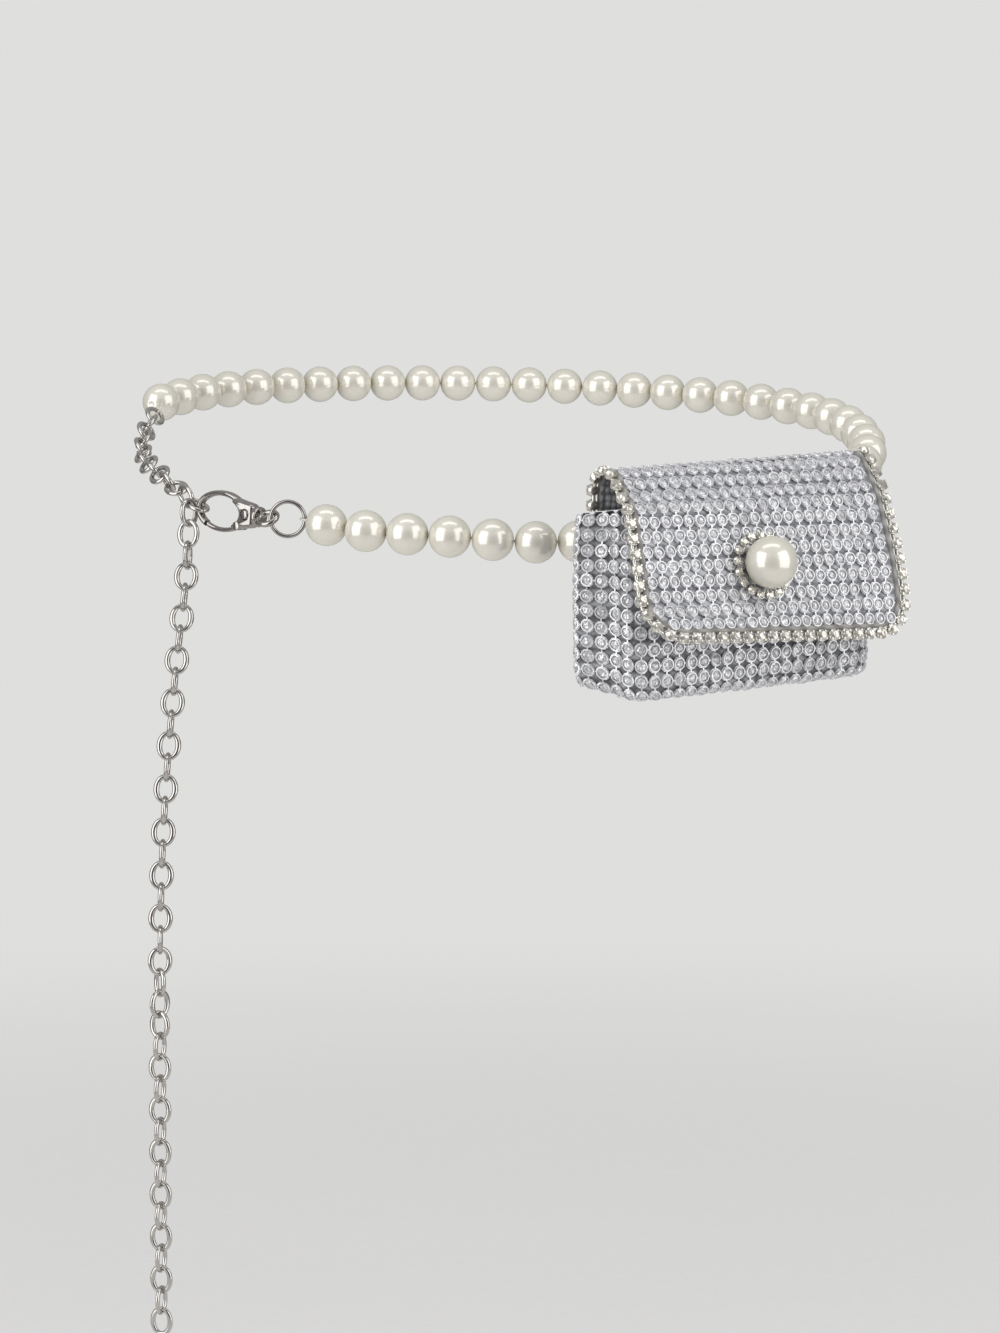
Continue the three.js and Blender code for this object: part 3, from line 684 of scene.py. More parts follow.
def mesh_reverse():
    """The mesh's reverse, seen inside the bag and the fold: pale dots on dull grey, both painted light to
    lift the shade inside the fold.
    """
    material, tree, place = new_material("mesh_reverse_painted_lighter")
    if tree:
        painted_fleck = add_node(tree, "ShaderNodeTexVoronoi", {
            "Vector": place, "Scale": per_mm(2.1), "Randomness": 0.4,
        })
        share = add_node(tree, "ShaderNodeMapRange", {
            "Value": painted_fleck.outputs["Distance"], "From Min": 0.25, "From Max": 0.6,
            "To Min": 1.0, "To Max": 0.0,
        })
        # Painted light: both the grey and the near-white dots are raised to lift the shade inside the fold
        # and the bag.
        add_surface(tree, share.outputs["Result"], "#96979b", "#f4f4f5", {
            "Metallic": 0.1, "Roughness": 0.3,
        }, (0.8, 0.4))
    return material


def satin_binding():
    """Narrow satin ribbon, folded over the flap's edge: greige, with fine cross ribs."""
    material, tree, place = new_material("greige_satin_binding")
    if tree:
        rib = add_node(tree, "ShaderNodeTexWave", {
            "Vector": place, "Scale": wave_scale(0.5), "Distortion": 1.5, "Detail": 2.0,
        }, bands_direction="DIAGONAL")
        add_surface(tree, rib.outputs["Fac"], "#85837e", "#aeaba6", {
            "Roughness": 0.6, "Sheen Weight": 0.4, "Sheen Roughness": 0.3,
        }, (0.3, 0.1))
    return material


def twisted_thread():
    """Clear nylon beading thread, milky where it doubles back on itself."""
    material, tree, place = new_material("milky_nylon_thread")
    if tree:
        ply = add_node(tree, "ShaderNodeTexWave", {
            "Vector": place, "Scale": wave_scale(0.6), "Distortion": 1.0,
        }, bands_direction="DIAGONAL")
        add_surface(tree, ply.outputs["Fac"], "#cfcabb", "#ebe8de", {"Roughness": 0.35, "Coat Weight": 0.4})
    return material


def pale_floor():
    """Matt studio paper, which fades out before its edge."""
    material, tree, place = new_material("pale_studio_paper")
    if tree:
        far = add_node(tree, "ShaderNodeVectorMath", {0: place}, operation="LENGTH")
        fade = add_node(tree, "ShaderNodeMapRange", {
            "Value": far.outputs["Value"], "From Min": 0.25, "From Max": 1.1,
            "To Min": 1.0, "To Max": 0.0,
        }, interpolation_type="SMOOTHSTEP")
        grain = add_node(tree, "ShaderNodeTexNoise", {"Vector": place, "Scale": per_mm(3), "Detail": 3.0})
        add_surface(tree, grain.outputs["Fac"], "#f0efed", "#f5f4f2", {
            "Roughness": 0.9, "Alpha": fade.outputs["Result"],
        })
    return material


# Pieces

def pearl_places(first, last):
    for index in range(first, last + 1):
        distance = index * PEARL_PITCH
        yield distance, PEARL_CURVE.at(distance), PEARL_CURVE.along(distance)


def pearl_bead(diameter, segments, rings):
    """A round bead on the Z axis, dimpled where it is drilled."""
    bpy.ops.mesh.primitive_uv_sphere_add(segments=segments, ring_count=rings, radius=diameter / 2 * MM)
    bead = added("pearl_bead")
    pole = diameter / 2 * MM * 0.999
    edit_points(bead, lambda place: abs(place.z) > pole)
    bpy.ops.transform.resize(value=(1, 1, 0.84))
    object_mode()
    return bead


def string_of_pearls(name, first, last):
    bead = pearl_bead(PEARL, 32, 20)
    frames = [
        BELT @ run_frame(at, UP.cross(along), along) for _, at, along in pearl_places(first, last)
    ]
    string = copies(name, bead, frames)
    smooth(string, 60)
    give(string, imitation_pearl())
    return string


def tube(name, points, diameter, sides=8):
    """A round strand through points in millimetres."""
    curve = bpy.data.curves.new(name, "CURVE")
    curve.dimensions = "3D"
    strand = curve.splines.new("POLY")
    strand.points.add(len(points) - 1)
    for place, point in zip(points, strand.points):
        point.co = (*(place * MM), 1)
    curve.bevel_depth = diameter / 2 * MM
    curve.bevel_resolution = sides // 4
    curve.use_fill_caps = True
    obj = bpy.data.objects.new(name, curve)
    bpy.context.collection.objects.link(obj)
    select_only(obj)
    bpy.ops.object.convert(target="MESH")
    return bpy.context.object


def end_loop(pearl, wire_at, wire_axis, wire, diameter):
    """The thread's loop, from inside the last pearl round a wire."""
    along = wire_at - pearl
    reach = along.length + wire / 2 + CLEARANCE + diameter
    inside = 1.6
    start = PEARL / 2 - inside
    width = wire + CLEARANCE * 2 + diameter * 2
    middle = pearl + along.normalized() * (start + reach) / 2
    loop = oval_link("end_loop", reach - start, width, diameter, segments=20, sides=8)
    loop.data.transform(BELT @ run_frame(middle, along, wire_axis))
    return loop


def oval_link(name, length, width, wire, segments, sides, straight=True):
    """A wire link that lies flat, long along X: with straight sides, or an oval with rolled sides."""
    bpy.ops.mesh.primitive_torus_add(
        major_segments=segments, minor_segments=sides,
        major_radius=(width - wire) / 2 * MM, minor_radius=wire / 2 * MM,
    )
    link = added(name)
    places = places_of(link)
    away = np.hypot(places[:, 0], places[:, 1])
    toward_end = np.round(places[:, 0] / away, 4)
    if not straight:
        outer = width / 2 * MM
        rolled = outer - (outer - away) * (1 + LINK_SIDE * (1 - toward_end**2))
        places[:, :2] *= (rolled / away)[:, None]
    places[:, 0] += (length - width) / 2 * MM * (np.sign(toward_end) if straight else toward_end)
    set_places(link, places)
    smooth(link, 60)
    return link


HOOK_FIT = math.sqrt((LINK_WIDTH / 2 - LINK_WIRE) ** 2 - (HOOK_DEPTH / 2 + CLEARANCE) ** 2)
HOOKED_SETBACK = (LINK_LENGTH - LINK_WIDTH) / 2 + HOOK_FIT - HOOK_WIRE / 2
CHAIN_CURVE = Route([on_waist(CHAIN_LINE, *place) for place in CHAIN_ROUTE])
CHAIN_RUN = CHAIN_CURVE.length - HOOKED_SETBACK
WAIST_LINKS = round(CHAIN_RUN / LINK_PITCH) + 1


def waist_link(index):
    distance = CHAIN_RUN - index * LINK_PITCH
    along = CHAIN_CURVE.along(distance)
    roll = index % 2 * 90 + LINK_ROLL * min(index / ROLLED_IN_LINKS, 1)
    level = (UP - along * UP.dot(along)).normalized()
    return CHAIN_CURVE.at(distance), along, Matrix.Rotation(math.radians(roll), 3, along) @ level


def tail_route():
    at, along, _ = waist_link(0)
    outward = Vector((along.y, -along.x, 0)).normalized()
    start = (
        at + outward * (LINK_WIDTH - LINK_WIRE) / 2
        + UP * (LINK_WIRE + CLEARANCE + LINK_WIRE / 2 - LINK_LENGTH / 2)
    )
    return Route([start + Vector(step) for step in TAIL_ROUTE])


def tail_turn(index):
    if index < len(TAIL_FIRST_TURNS):
        return TAIL_FIRST_TURNS[index]
    share = min(max((index - TAIL_TWIST_FROM) / TAIL_TWIST_LINKS, 0), 1)
    return (0 if index % 2 else 90) + TAIL_TWIST * share * share * (3 - 2 * share)


def chain_frames(name):
    if name == "waist_chain":
        return [BELT @ run_frame(*waist_link(index)) for index in range(WAIST_LINKS)]
    route = tail_route()
    frames = []
    for index in range(math.floor(route.length / LINK_PITCH) + 1):
        turn = math.radians(tail_turn(index))
        normal = Vector((-math.sin(turn), math.cos(turn), 0))
        distance = index * LINK_PITCH
        frames.append(BELT @ run_frame(route.at(distance), route.along(distance), normal))
    return frames


def oval_plate(name, half_length, half_height, depth, hole_wall=None):
    """An oval plate in the clasp's own frame, with its hole if it has one."""
    bpy.ops.mesh.primitive_cylinder_add(
        vertices=96, radius=1, depth=depth * MM, rotation=(math.radians(90), 0, 0),
    )
    plate = added(name)
    places = places_of(plate)
    places *= (half_length * MM, 1, half_height * MM)
    places[:, 0] += HOOK_LENGTH / 2 * MM
    set_places(plate, places)
    if hole_wall:
        edit_faces(plate, lambda centre, normal: abs(normal.y) > 0.9)
        bpy.ops.mesh.inset(thickness=hole_wall * MM, use_individual=True)
        bpy.ops.mesh.bridge_edge_loops()
        object_mode()
    return plate


def box(name, low, high):
    """A box between two corners, in millimetres."""
    low, high = Vector(low), Vector(high)
    bpy.ops.mesh.primitive_cube_add(size=1, location=(low + high) / 2 * MM, scale=(high - low) * MM)
    return added(name)


def pin(name, diameter, start, end, axis, across=(0, 0), sides=32):
    """A round pin along X or Y, in millimetres."""
    middle = (start + end) / 2
    if axis == "X":
        location, rotation = Vector((middle, across[0], across[1])), (0, math.radians(90), 0)
    else:
        location, rotation = Vector((across[0], middle, across[1])), (math.radians(90), 0, 0)
    bpy.ops.mesh.primitive_cylinder_add(
        vertices=sides, radius=diameter / 2 * MM, depth=(end - start) * MM,
        location=location * MM, rotation=rotation,
    )
    return added(name)


def clasp_hook():
    hook = oval_plate("hook_band", HOOK_LENGTH / 2, HOOK_HEIGHT / 2, HOOK_DEPTH, HOOK_WIRE)
    bevel(hook, 0.7, 5, 50)
    opening_top = HINGE_Z + HOOK_WIRE / 2
    cut(hook, box("gate_opening", (GATE_NOSE, -CUT_WIDTH, -HOOK_HEIGHT),
                  (HINGE_X - GATE_BARREL / 2, CUT_WIDTH, opening_top)))
    cheek = HINGE_X - GATE_BARREL * 0.6
    half_depth, half_height = BLOCK_DEPTH / 2, BLOCK_HEIGHT / 2
    block = box("block", (cheek - 1, -half_depth, -half_height), (BLOCK_END, half_depth, half_height))
    edit_faces(block, lambda centre, normal: normal.x > 0.9)
    taper = BLOCK_END_HEIGHT / BLOCK_HEIGHT
    bpy.ops.transform.resize(value=(1, 0.9, taper))
    object_mode()
    bevel(block, 1.3, 5)
    eye_half = (HOOK_LENGTH / 2 - HOOK_WIRE, HOOK_HEIGHT / 2 - HOOK_WIRE)
    cut(block, oval_plate("block_cutter", *eye_half, BLOCK_DEPTH * 2))
    rivet_place = (HINGE_X + RIVET_STEP, RIVET_RISE)
    head = half_depth + 0.25
    rivet = pin("rivet", RIVET, -head, head, "Y", rivet_place)
    bevel(rivet, 0.6, 4)
    cut(block, pin("rivet_seat", RIVET + 0.4, -BLOCK_DEPTH, BLOCK_DEPTH, "Y", rivet_place))
    cheeks = pin("cheeks", GATE_BARREL, -half_depth, half_depth, "Y", HINGE_AT)
    bevel(cheeks, 0.25, 2)
    cut(block, cheeks, "UNION")
    cut(hook, block, "UNION")
    slot = GATE_DEPTH / 2 + CLEARANCE
    room = GATE_BARREL / 2 + CLEARANCE
    cut(hook, box("slot_low", (HINGE_X - 4, -slot, -HOOK_HEIGHT), (HINGE_X + 0.5, slot, HINGE_Z)))
    cut(hook, pin("slot_round", room * 2, -slot, slot, "Y", HINGE_AT))
    cut(hook, box("slot_swing", (HINGE_X - 4, -slot, HINGE_Z - 1), (HINGE_X, slot, HINGE_Z + room)))
    cut(hook, pin("swivel_bore", STEM + CLEARANCE * 2, BLOCK_END - STEM_LENGTH, BLOCK_END + 1, "X"))
    pin_end = half_depth - 0.1
    hinge = pin("hinge_pin", HINGE_PIN, -pin_end, pin_end, "Y", HINGE_AT, sides=16)
    hook = joined("clasp_hook_polished", [hook, rivet, hinge])
    hook.data.transform(CLASP)
    smooth(hook, 40)
    give(hook, polished_nickel())
    return hook


def clasp_gate():
    inset = 0.1
    gate = oval_plate(
        "clasp_gate_polished", HOOK_LENGTH / 2 - inset, HOOK_HEIGHT / 2 - inset, GATE_DEPTH,
        HOOK_WIRE - 2 * inset,
    )
    bevel(gate, 0.55, 4, 50)
    nose = GATE_NOSE + CLEARANCE * 2.2
    reach_top = HINGE_Z + HOOK_WIRE / 2
    reach = box("gate_reach", (nose, -CUT_WIDTH, -HOOK_HEIGHT), (HINGE_X, CUT_WIDTH, reach_top))
    cut(gate, reach, "INTERSECT")
    barrel = pin("barrel", GATE_BARREL, -GATE_DEPTH / 2, GATE_DEPTH / 2, "Y", HINGE_AT)
    cut(gate, barrel, "UNION")
    cut(gate, pin("barrel_bore", HINGE_PIN + 0.3, -CUT_WIDTH, CUT_WIDTH, "Y", HINGE_AT, sides=16))
    gate.data.transform(CLASP)
    smooth(gate, 40)
    give(gate, polished_nickel())
    return gate


def swivel_eye():
    collar = pin("collar", COLLAR, COLLAR_START, COLLAR_START + COLLAR_LENGTH, "X", sides=48)
    bevel(collar, 0.4, 3)
    stem = pin("stem", STEM, BLOCK_END - STEM_LENGTH + 0.5, COLLAR_START + 0.5, "X")
    eye = oval_link("eye", EYE_LENGTH, EYE_WIDTH, EYE_WIRE, segments=38, sides=14)
    eye.data.transform(
        Matrix.Translation(Vector((EYE_START + EYE_LENGTH / 2, 0, 0)) * MM)
        @ Matrix.Rotation(math.radians(90 - EYE_TILT), 4, "X")
    )
    whole = joined("swivel_eye_polished", [collar, stem, eye])
    whole.data.transform(CLASP)
    smooth(whole, 40)
    give(whole, polished_nickel())
    return whole


def fitted_sheet(name, wall, columns, rows, off, top=0.0, narrowed=None):
    """A grid laid on a wall from the top down. Towards rounded corners its rows are narrower."""
    bpy.ops.mesh.primitive_grid_add(x_subdivisions=columns, y_subdivisions=rows, size=1)
    sheet = added(name)
    flat = places_of(sheet)
    left, across, along = narrowed or (wall.left, wall.across, wall.along)
    flat[:, 0] = left + (flat[:, 0] + 0.5) * across
    flat[:, 1] = (flat[:, 1] - 0.5) * (along - top) - top
    if narrowed:
        into = np.clip(-flat[:, 1] - (along - FLAP_CORNER), 0, FLAP_CORNER)
        inset = FLAP_CORNER - np.sqrt(FLAP_CORNER**2 - into**2)
        flat[:, 0] *= 1 - inset / (across / 2)
    flat[:, 2] = off
    set_places(sheet, wall.lay(flat) * MM)
    return sheet


# How far the woven backing lies behind the mesh's face, and under its upper edge
GROUND_DEPTH = 0.75
GROUND_STEP = 1.3


def bag_ground():
    """The woven backing of the body: one shell, open at the top."""
    sheets = [
        fitted_sheet("sides_and_front", WRAP_WALL, 120, 44, -GROUND_DEPTH, top=GROUND_STEP),
        fitted_sheet("back", BACK_WALL, 60, 44, -GROUND_DEPTH, top=GROUND_STEP),
    ]
    shell = joined("bag_backing_cloth", sheets)
    edit_points(shell, lambda place: True)
    bpy.ops.mesh.remove_doubles(threshold=1.3 * GROUND_DEPTH * MM)
    bpy.ops.mesh.select_all(action="DESELECT")
    bpy.ops.mesh.select_non_manifold(extend=False)
    object_mode()
    half_way = (RIM_HEIGHT - BAG_HEIGHT / 2) * MM
    for point in shell.data.vertices:
        point.select = point.select and point.co.z < half_way
    for edge in shell.data.edges:
        edge.select = all(shell.data.vertices[end].select for end in edge.vertices)
    edit_mode()
    bpy.ops.mesh.fill()
    bpy.ops.mesh.select_all(action="SELECT")
    bpy.ops.mesh.normals_make_consistent(inside=False)
    object_mode()
    give(shell, woven_cloth("woven_grey_ground", "#5c5d60", "#a9aaad"), mesh_reverse())
    modify(shell, "SOLIDIFY", thickness=1.0 * MM, offset=-1, material_offset=1)
    smooth(shell, 50)
    return shell


def flap_ground():
    """The woven backing of the flap, with its rounded corners. It is the body's backing cloth, painted
    lighter as painted light on the flap.
    """
    area = (-FLAP_WIDTH / 2, FLAP_WIDTH, FLAP_LENGTH)
    sheet = fitted_sheet("flap_backing_cloth", FLAP_WALL, 60, 110, -GROUND_DEPTH, narrowed=area)
    # Painted light: the same cloth as the body's backing, given lighter tones on the flap.
    give(sheet, woven_cloth("woven_ground_painted_lighter", "#7b7c81", "#cdced1"), mesh_reverse())
    modify(sheet, "SOLIDIFY", thickness=(FLAP_THICKNESS - GROUND_DEPTH) * MM, offset=-1, material_offset=1)
    smooth(sheet, 50)
    return sheet


def cup_with_stone(sizes, pitch_across, pitch_down):
    """One cup with its stone and the short links to its neighbours, lying flat on its base."""
    fit = pitch_across * MM / sizes.pitch_across
    radius = sizes.cup / 2 * fit
    stone_radius = sizes.stone / 2 * fit
    height = sizes.height
    stone_seat, crown = height * 0.55, height * 0.42
    bpy.ops.mesh.primitive_cylinder_add(
        vertices=12, radius=radius, depth=height, location=(0, 0, height / 2),
    )
    cup = added("cup")
    open_below(cup)
    edit_faces(cup, faces_up)
    bpy.ops.mesh.inset(thickness=radius - stone_radius)
    bpy.ops.mesh.extrude_region_move(TRANSFORM_OT_translate={"value": (0, 0, stone_seat - height)})
    bpy.ops.mesh.delete(type="FACE")
    object_mode()
    edit_points(cup, lambda at: at.z > height * 0.99 and math.hypot(at.x, at.y) > radius * 0.99)
    bpy.ops.mesh.select_mode(type="EDGE")
    bpy.ops.mesh.bevel(offset=radius * 0.09, segments=1)
    object_mode()
    flange_radius = pitch_across / 2 * MM
    flange_low, flange_high = height * 0.2, height * 0.4
    bpy.ops.mesh.primitive_cylinder_add(
        vertices=12, radius=flange_radius, depth=flange_high - flange_low,
        location=(0, 0, (flange_low + flange_high) / 2),
    )
    flange = added("flange")
    open_below(flange)
    edit_faces(flange, faces_up)
    bpy.ops.mesh.inset(thickness=flange_radius - radius * 0.97)
    bpy.ops.mesh.delete(type="FACE")
    object_mode()
    bpy.ops.mesh.primitive_cone_add(
        vertices=8, radius1=stone_radius * 1.02, radius2=stone_radius * 0.5, depth=crown,
        location=(0, 0, stone_seat + crown / 2), rotation=(0, 0, math.radians(22.5)),
    )
    stone = added("stone")
    open_below(stone)
    give(stone, clear_stone())
    half, overlap = sizes.link / 2, radius * 0.08
    start = radius - overlap
    across, down = (pitch * MM - radius + overlap for pitch in (pitch_across, pitch_down))
    links = []
    for low, high in (((start, -half), (across, half)), ((-half, start), (half, down))):
        link = box("link", Vector((*low, flange_low)) / MM, Vector((*high, stone_seat)) / MM)
        open_below(link)
        links.append(link)
    smooth(cup, 40)
    smooth(flange, 40)
    for piece in (cup, flange, *links):
        give(piece, silver_cup())
    return joined("cup_with_stone", [cup, stone, flange, *links])


def cup_field(name, wall, sizes, columns, rows, area, seed, kept=None):
    """Cups in rows over a wall, made by arrays, each a little out of true, and then laid on the wall."""
    left, top, across, along = area
    pitch_across, pitch_down = across / columns, along / rows
    field = cup_with_stone(sizes, pitch_across, pitch_down)
    unit = len(field.data.vertices)
    modify(field, "ARRAY", count=columns, use_relative_offset=False, use_constant_offset=True,
           constant_offset_displace=(pitch_across * MM, 0, 0))
    modify(field, "ARRAY", count=rows, use_relative_offset=False, use_constant_offset=True,
           constant_offset_displace=(0, -pitch_down * MM, 0))
    flat = places_of(field).reshape(rows * columns, unit, 3) / MM
    row, column = np.divmod(np.arange(rows * columns), columns)
    centres = np.stack([column * pitch_across, -row * pitch_down, np.zeros(rows * columns)], axis=-1)
    chance = np.random.default_rng(seed)
    tilt = chance.normal(0, math.radians(sizes.tilt), (rows * columns, 2, 1))
    shift = chance.normal(0, sizes.shift / MM, (rows * columns, 1, 3)) * (1, 1, 0.6)
    local = flat - centres[:, None]
    local[:, :, 2] += local[:, :, 0] * tilt[:, 0] + local[:, :, 1] * tilt[:, 1]
    centres += (left + pitch_across / 2, top - pitch_down / 2, 0)
    flat = local + centres[:, None] + shift
    flat[:, :, 2] += -GROUND_DEPTH
    dropped = [bool(kept and not kept(x, -y)) for x, y, _ in centres]
    set_places(field, wall.lay(flat.reshape(-1, 3)) * MM)
    if any(dropped):
        clear_choice(field, "VERT")
        field.data.vertices.foreach_set("select", np.repeat(dropped, unit))
        edit_mode()
        bpy.ops.mesh.delete(type="VERT")
        object_mode()
    field.name = field.data.name = name
    return field


def on_flap(x, along):
    """True where a cup lies on the flap, clear of its edges and rounded corners."""
    margin = 1.4
    into = along - (FLAP_LENGTH - FLAP_CORNER)
    inset = 0 if into <= 0 else FLAP_CORNER - math.sqrt(max(FLAP_CORNER**2 - into**2, 0))
    return abs(x) < FLAP_WIDTH / 2 - inset - margin


def chaton(name, diameter):
    """A cut stone in its own cup with four prongs, facing up, with its girdle at half of its height."""
    radius = diameter / 2 * MM
    bpy.ops.mesh.primitive_cylinder_add(
        vertices=16, radius=radius * 0.96, depth=radius * 0.9, location=(0, 0, -radius * 0.35),
    )
    cup = added("chaton_cup")
    edit_faces(cup, faces_down)
    bpy.ops.transform.resize(value=(0.7, 0.7, 1))
    object_mode()
    modify(cup, "BEVEL", width=radius * 0.08, segments=2, limit_method="ANGLE")
    bpy.ops.mesh.primitive_cone_add(
        vertices=8, radius1=radius * 0.93, radius2=radius * 0.5, depth=radius * 0.5,
        location=(0, 0, radius * 0.33),
    )
    stone = added("chaton_stone")
    edit_faces(stone, faces_up)
    bpy.ops.mesh.inset(thickness=radius * 0.12)
    object_mode()
    smooth(cup, 40)
    give(cup, warm_cup())
    give(stone, champagne_stone())
    prongs = []
    for turn in range(4):
        angle = math.radians(45 + 90 * turn)
        at = Vector((math.cos(angle), math.sin(angle), 0)) * radius * 0.8 + Vector((0, 0, radius * 0.12))
        bpy.ops.mesh.primitive_cylinder_add(
            vertices=6, radius=radius * 0.15, depth=radius * 0.5, location=at,
        )
        prongs.append(added("prong"))
        give(prongs[-1], warm_cup())
    return joined(name, [cup, stone, *prongs])


def edge_route(out):
    """A way round the flap's free edges, so far outside them, flat on the flap's wall."""
    half, end, corner = FLAP_WIDTH / 2 + out, FLAP_LENGTH + out, FLAP_CORNER + out
    side = [(-half, share * (end - corner)) for share in np.linspace(0, 1, 24)]
    bend = [
        (-half + corner * (1 - math.cos(turn)), end - corner * (1 - math.sin(turn)))
        for turn in np.radians([20, 40, 60, 80, 90])
    ]
    left = side + bend
    right = [(-across, along) for across, along in reversed(left)]
    return Route([(across, -along, 0) for across, along in left + right])


def edge_strand(name, out, off, diameter):
    """A strand that follows the flap's edges."""
    route, steps = edge_route(out), 260
    flat = route.many(np.linspace(0, route.length, steps))
    flat[:, 2] = off
    return tube(name, [Vector(place) for place in FLAP_WALL.lay(flat)], diameter)


def trim_frames():
    route = edge_route(TRIM / 2 + CLEARANCE)
    count = round((route.length - TRIM) / TRIM_PITCH) + 1
    pitch = (route.length - TRIM) / (count - 1)
    off = -FLAP_THICKNESS / 2 + TRIM * 0.2
    frames = []
    for index in range(count):
        distance = TRIM / 2 + index * pitch
        x, y, _ = route.at(distance)
        along = route.along(distance)
        frame_here = FLAP_WALL.frame_at(x, y, off)
        frames.append(frame_here @ Matrix.Rotation(math.atan2(along.y, along.x), 4, "Z"))
    return frames


def strap_loop():
    """A band of webbing round the string, with rounded turns."""
    rear = BELT_AT.y + PEARL / 2 + STRAP_ROOM + STRAP_THICKNESS
    front = BAG_BACK + CLEARANCE
    middle = Vector((BELT_AT.x, (rear + front) / 2, BELT_AT.z))
    corner = Vector((STRAP_WIDTH / 2, (rear - front) / 2, STRAP_HEIGHT / 2))
    band = box("strap_loop_webbing", middle - corner, middle + corner)
    edit_faces(band, lambda centre, normal: abs(normal.x) > 0.9)
    bpy.ops.mesh.inset(thickness=STRAP_THICKNESS * MM, use_individual=True)
    bpy.ops.mesh.bridge_edge_loops()
    object_mode()
    bevel(band, 0.9, 4, 60)
    smooth(band, 40)
    give(band, woven_cloth("grey_webbing", "#88898c", "#b6b6b8", 1.1))
    return band


# Settings

class MeshSizes(bpy.types.PropertyGroup):
    """Sizes of the rhinestone mesh."""

    cup: bpy.props.FloatProperty(
        name="Cup", description="Outer diameter of a cup", default=3.7 * MM,
        unit="LENGTH", precision=5,
    )
    stone: bpy.props.FloatProperty(
        name="Stone", description="Diameter of the stone in a cup", default=3.0 * MM,
        unit="LENGTH", precision=5,
    )
    height: bpy.props.FloatProperty(
        name="Height", description="Height of a cup over the backing", default=0.95 * MM,
        unit="LENGTH", precision=5,
    )
    link: bpy.props.FloatProperty(
        name="Link", description="Width of the links between the cups", default=0.36 * MM,
        unit="LENGTH", precision=5,
    )
    pitch_across: bpy.props.FloatProperty(
        name="Pitch across", description="Distance between the cups of a row on the body",
        default=4.1 * MM, unit="LENGTH", precision=5,
    )
    flap_pitch_across: bpy.props.FloatProperty(
        name="Flap pitch across",
        description="Distance between the cups of a row on the flap, whose cups are smaller",
        default=3.8 * MM, unit="LENGTH", precision=5,
    )
    pitch_down: bpy.props.FloatProperty(
        name="Pitch down", description="Distance between the rows", default=4.4 * MM,
        unit="LENGTH", precision=5,
    )
    tilt: bpy.props.FloatProperty(
        name="Tilt", description="How far the cups lean out of true, in degrees", default=3.5,
    )
    shift: bpy.props.FloatProperty(
        name="Shift", description="How far the cups lie out of line", default=0.08 * MM,
        unit="LENGTH", precision=5,
    )


class StageLook(bpy.types.PropertyGroup):
    """Light and backdrop."""

    backdrop: bpy.props.FloatVectorProperty(
        name="Backdrop", description="Colour behind the object",
        default=colour("#dfdfde")[:3], subtype="COLOR", min=0, max=1,
    )
    surround: bpy.props.FloatVectorProperty(
        name="Surround", description="Colour of the room that the object reflects",
        default=(0.26, 0.26, 0.27), subtype="COLOR", min=0, max=1,
    )
    ceiling: bpy.props.FloatVectorProperty(
        name="Ceiling", description="Colour of the ceiling that the object reflects",
        default=(0.5, 0.5, 0.51), subtype="COLOR", min=0, max=1,
    )
    camera_side: bpy.props.FloatVectorProperty(
        name="Camera side", description="Colour of the dim part of the room behind the camera",
        default=(0.1, 0.098, 0.115), subtype="COLOR", min=0, max=1,
    )
    softbox_power: bpy.props.FloatProperty(
        name="Softbox power", description="Power of each of the two upright softboxes", default=12.6,
        unit="POWER",
    )
    strip_power: bpy.props.FloatProperty(
        name="Strip power", description="Power of the strip light overhead", default=3.2, unit="POWER",
    )
    floor_height: bpy.props.FloatProperty(
        name="Floor height", description="Height of the floor under the waist", default=-0.32,
        unit="LENGTH",
    )


# Operators

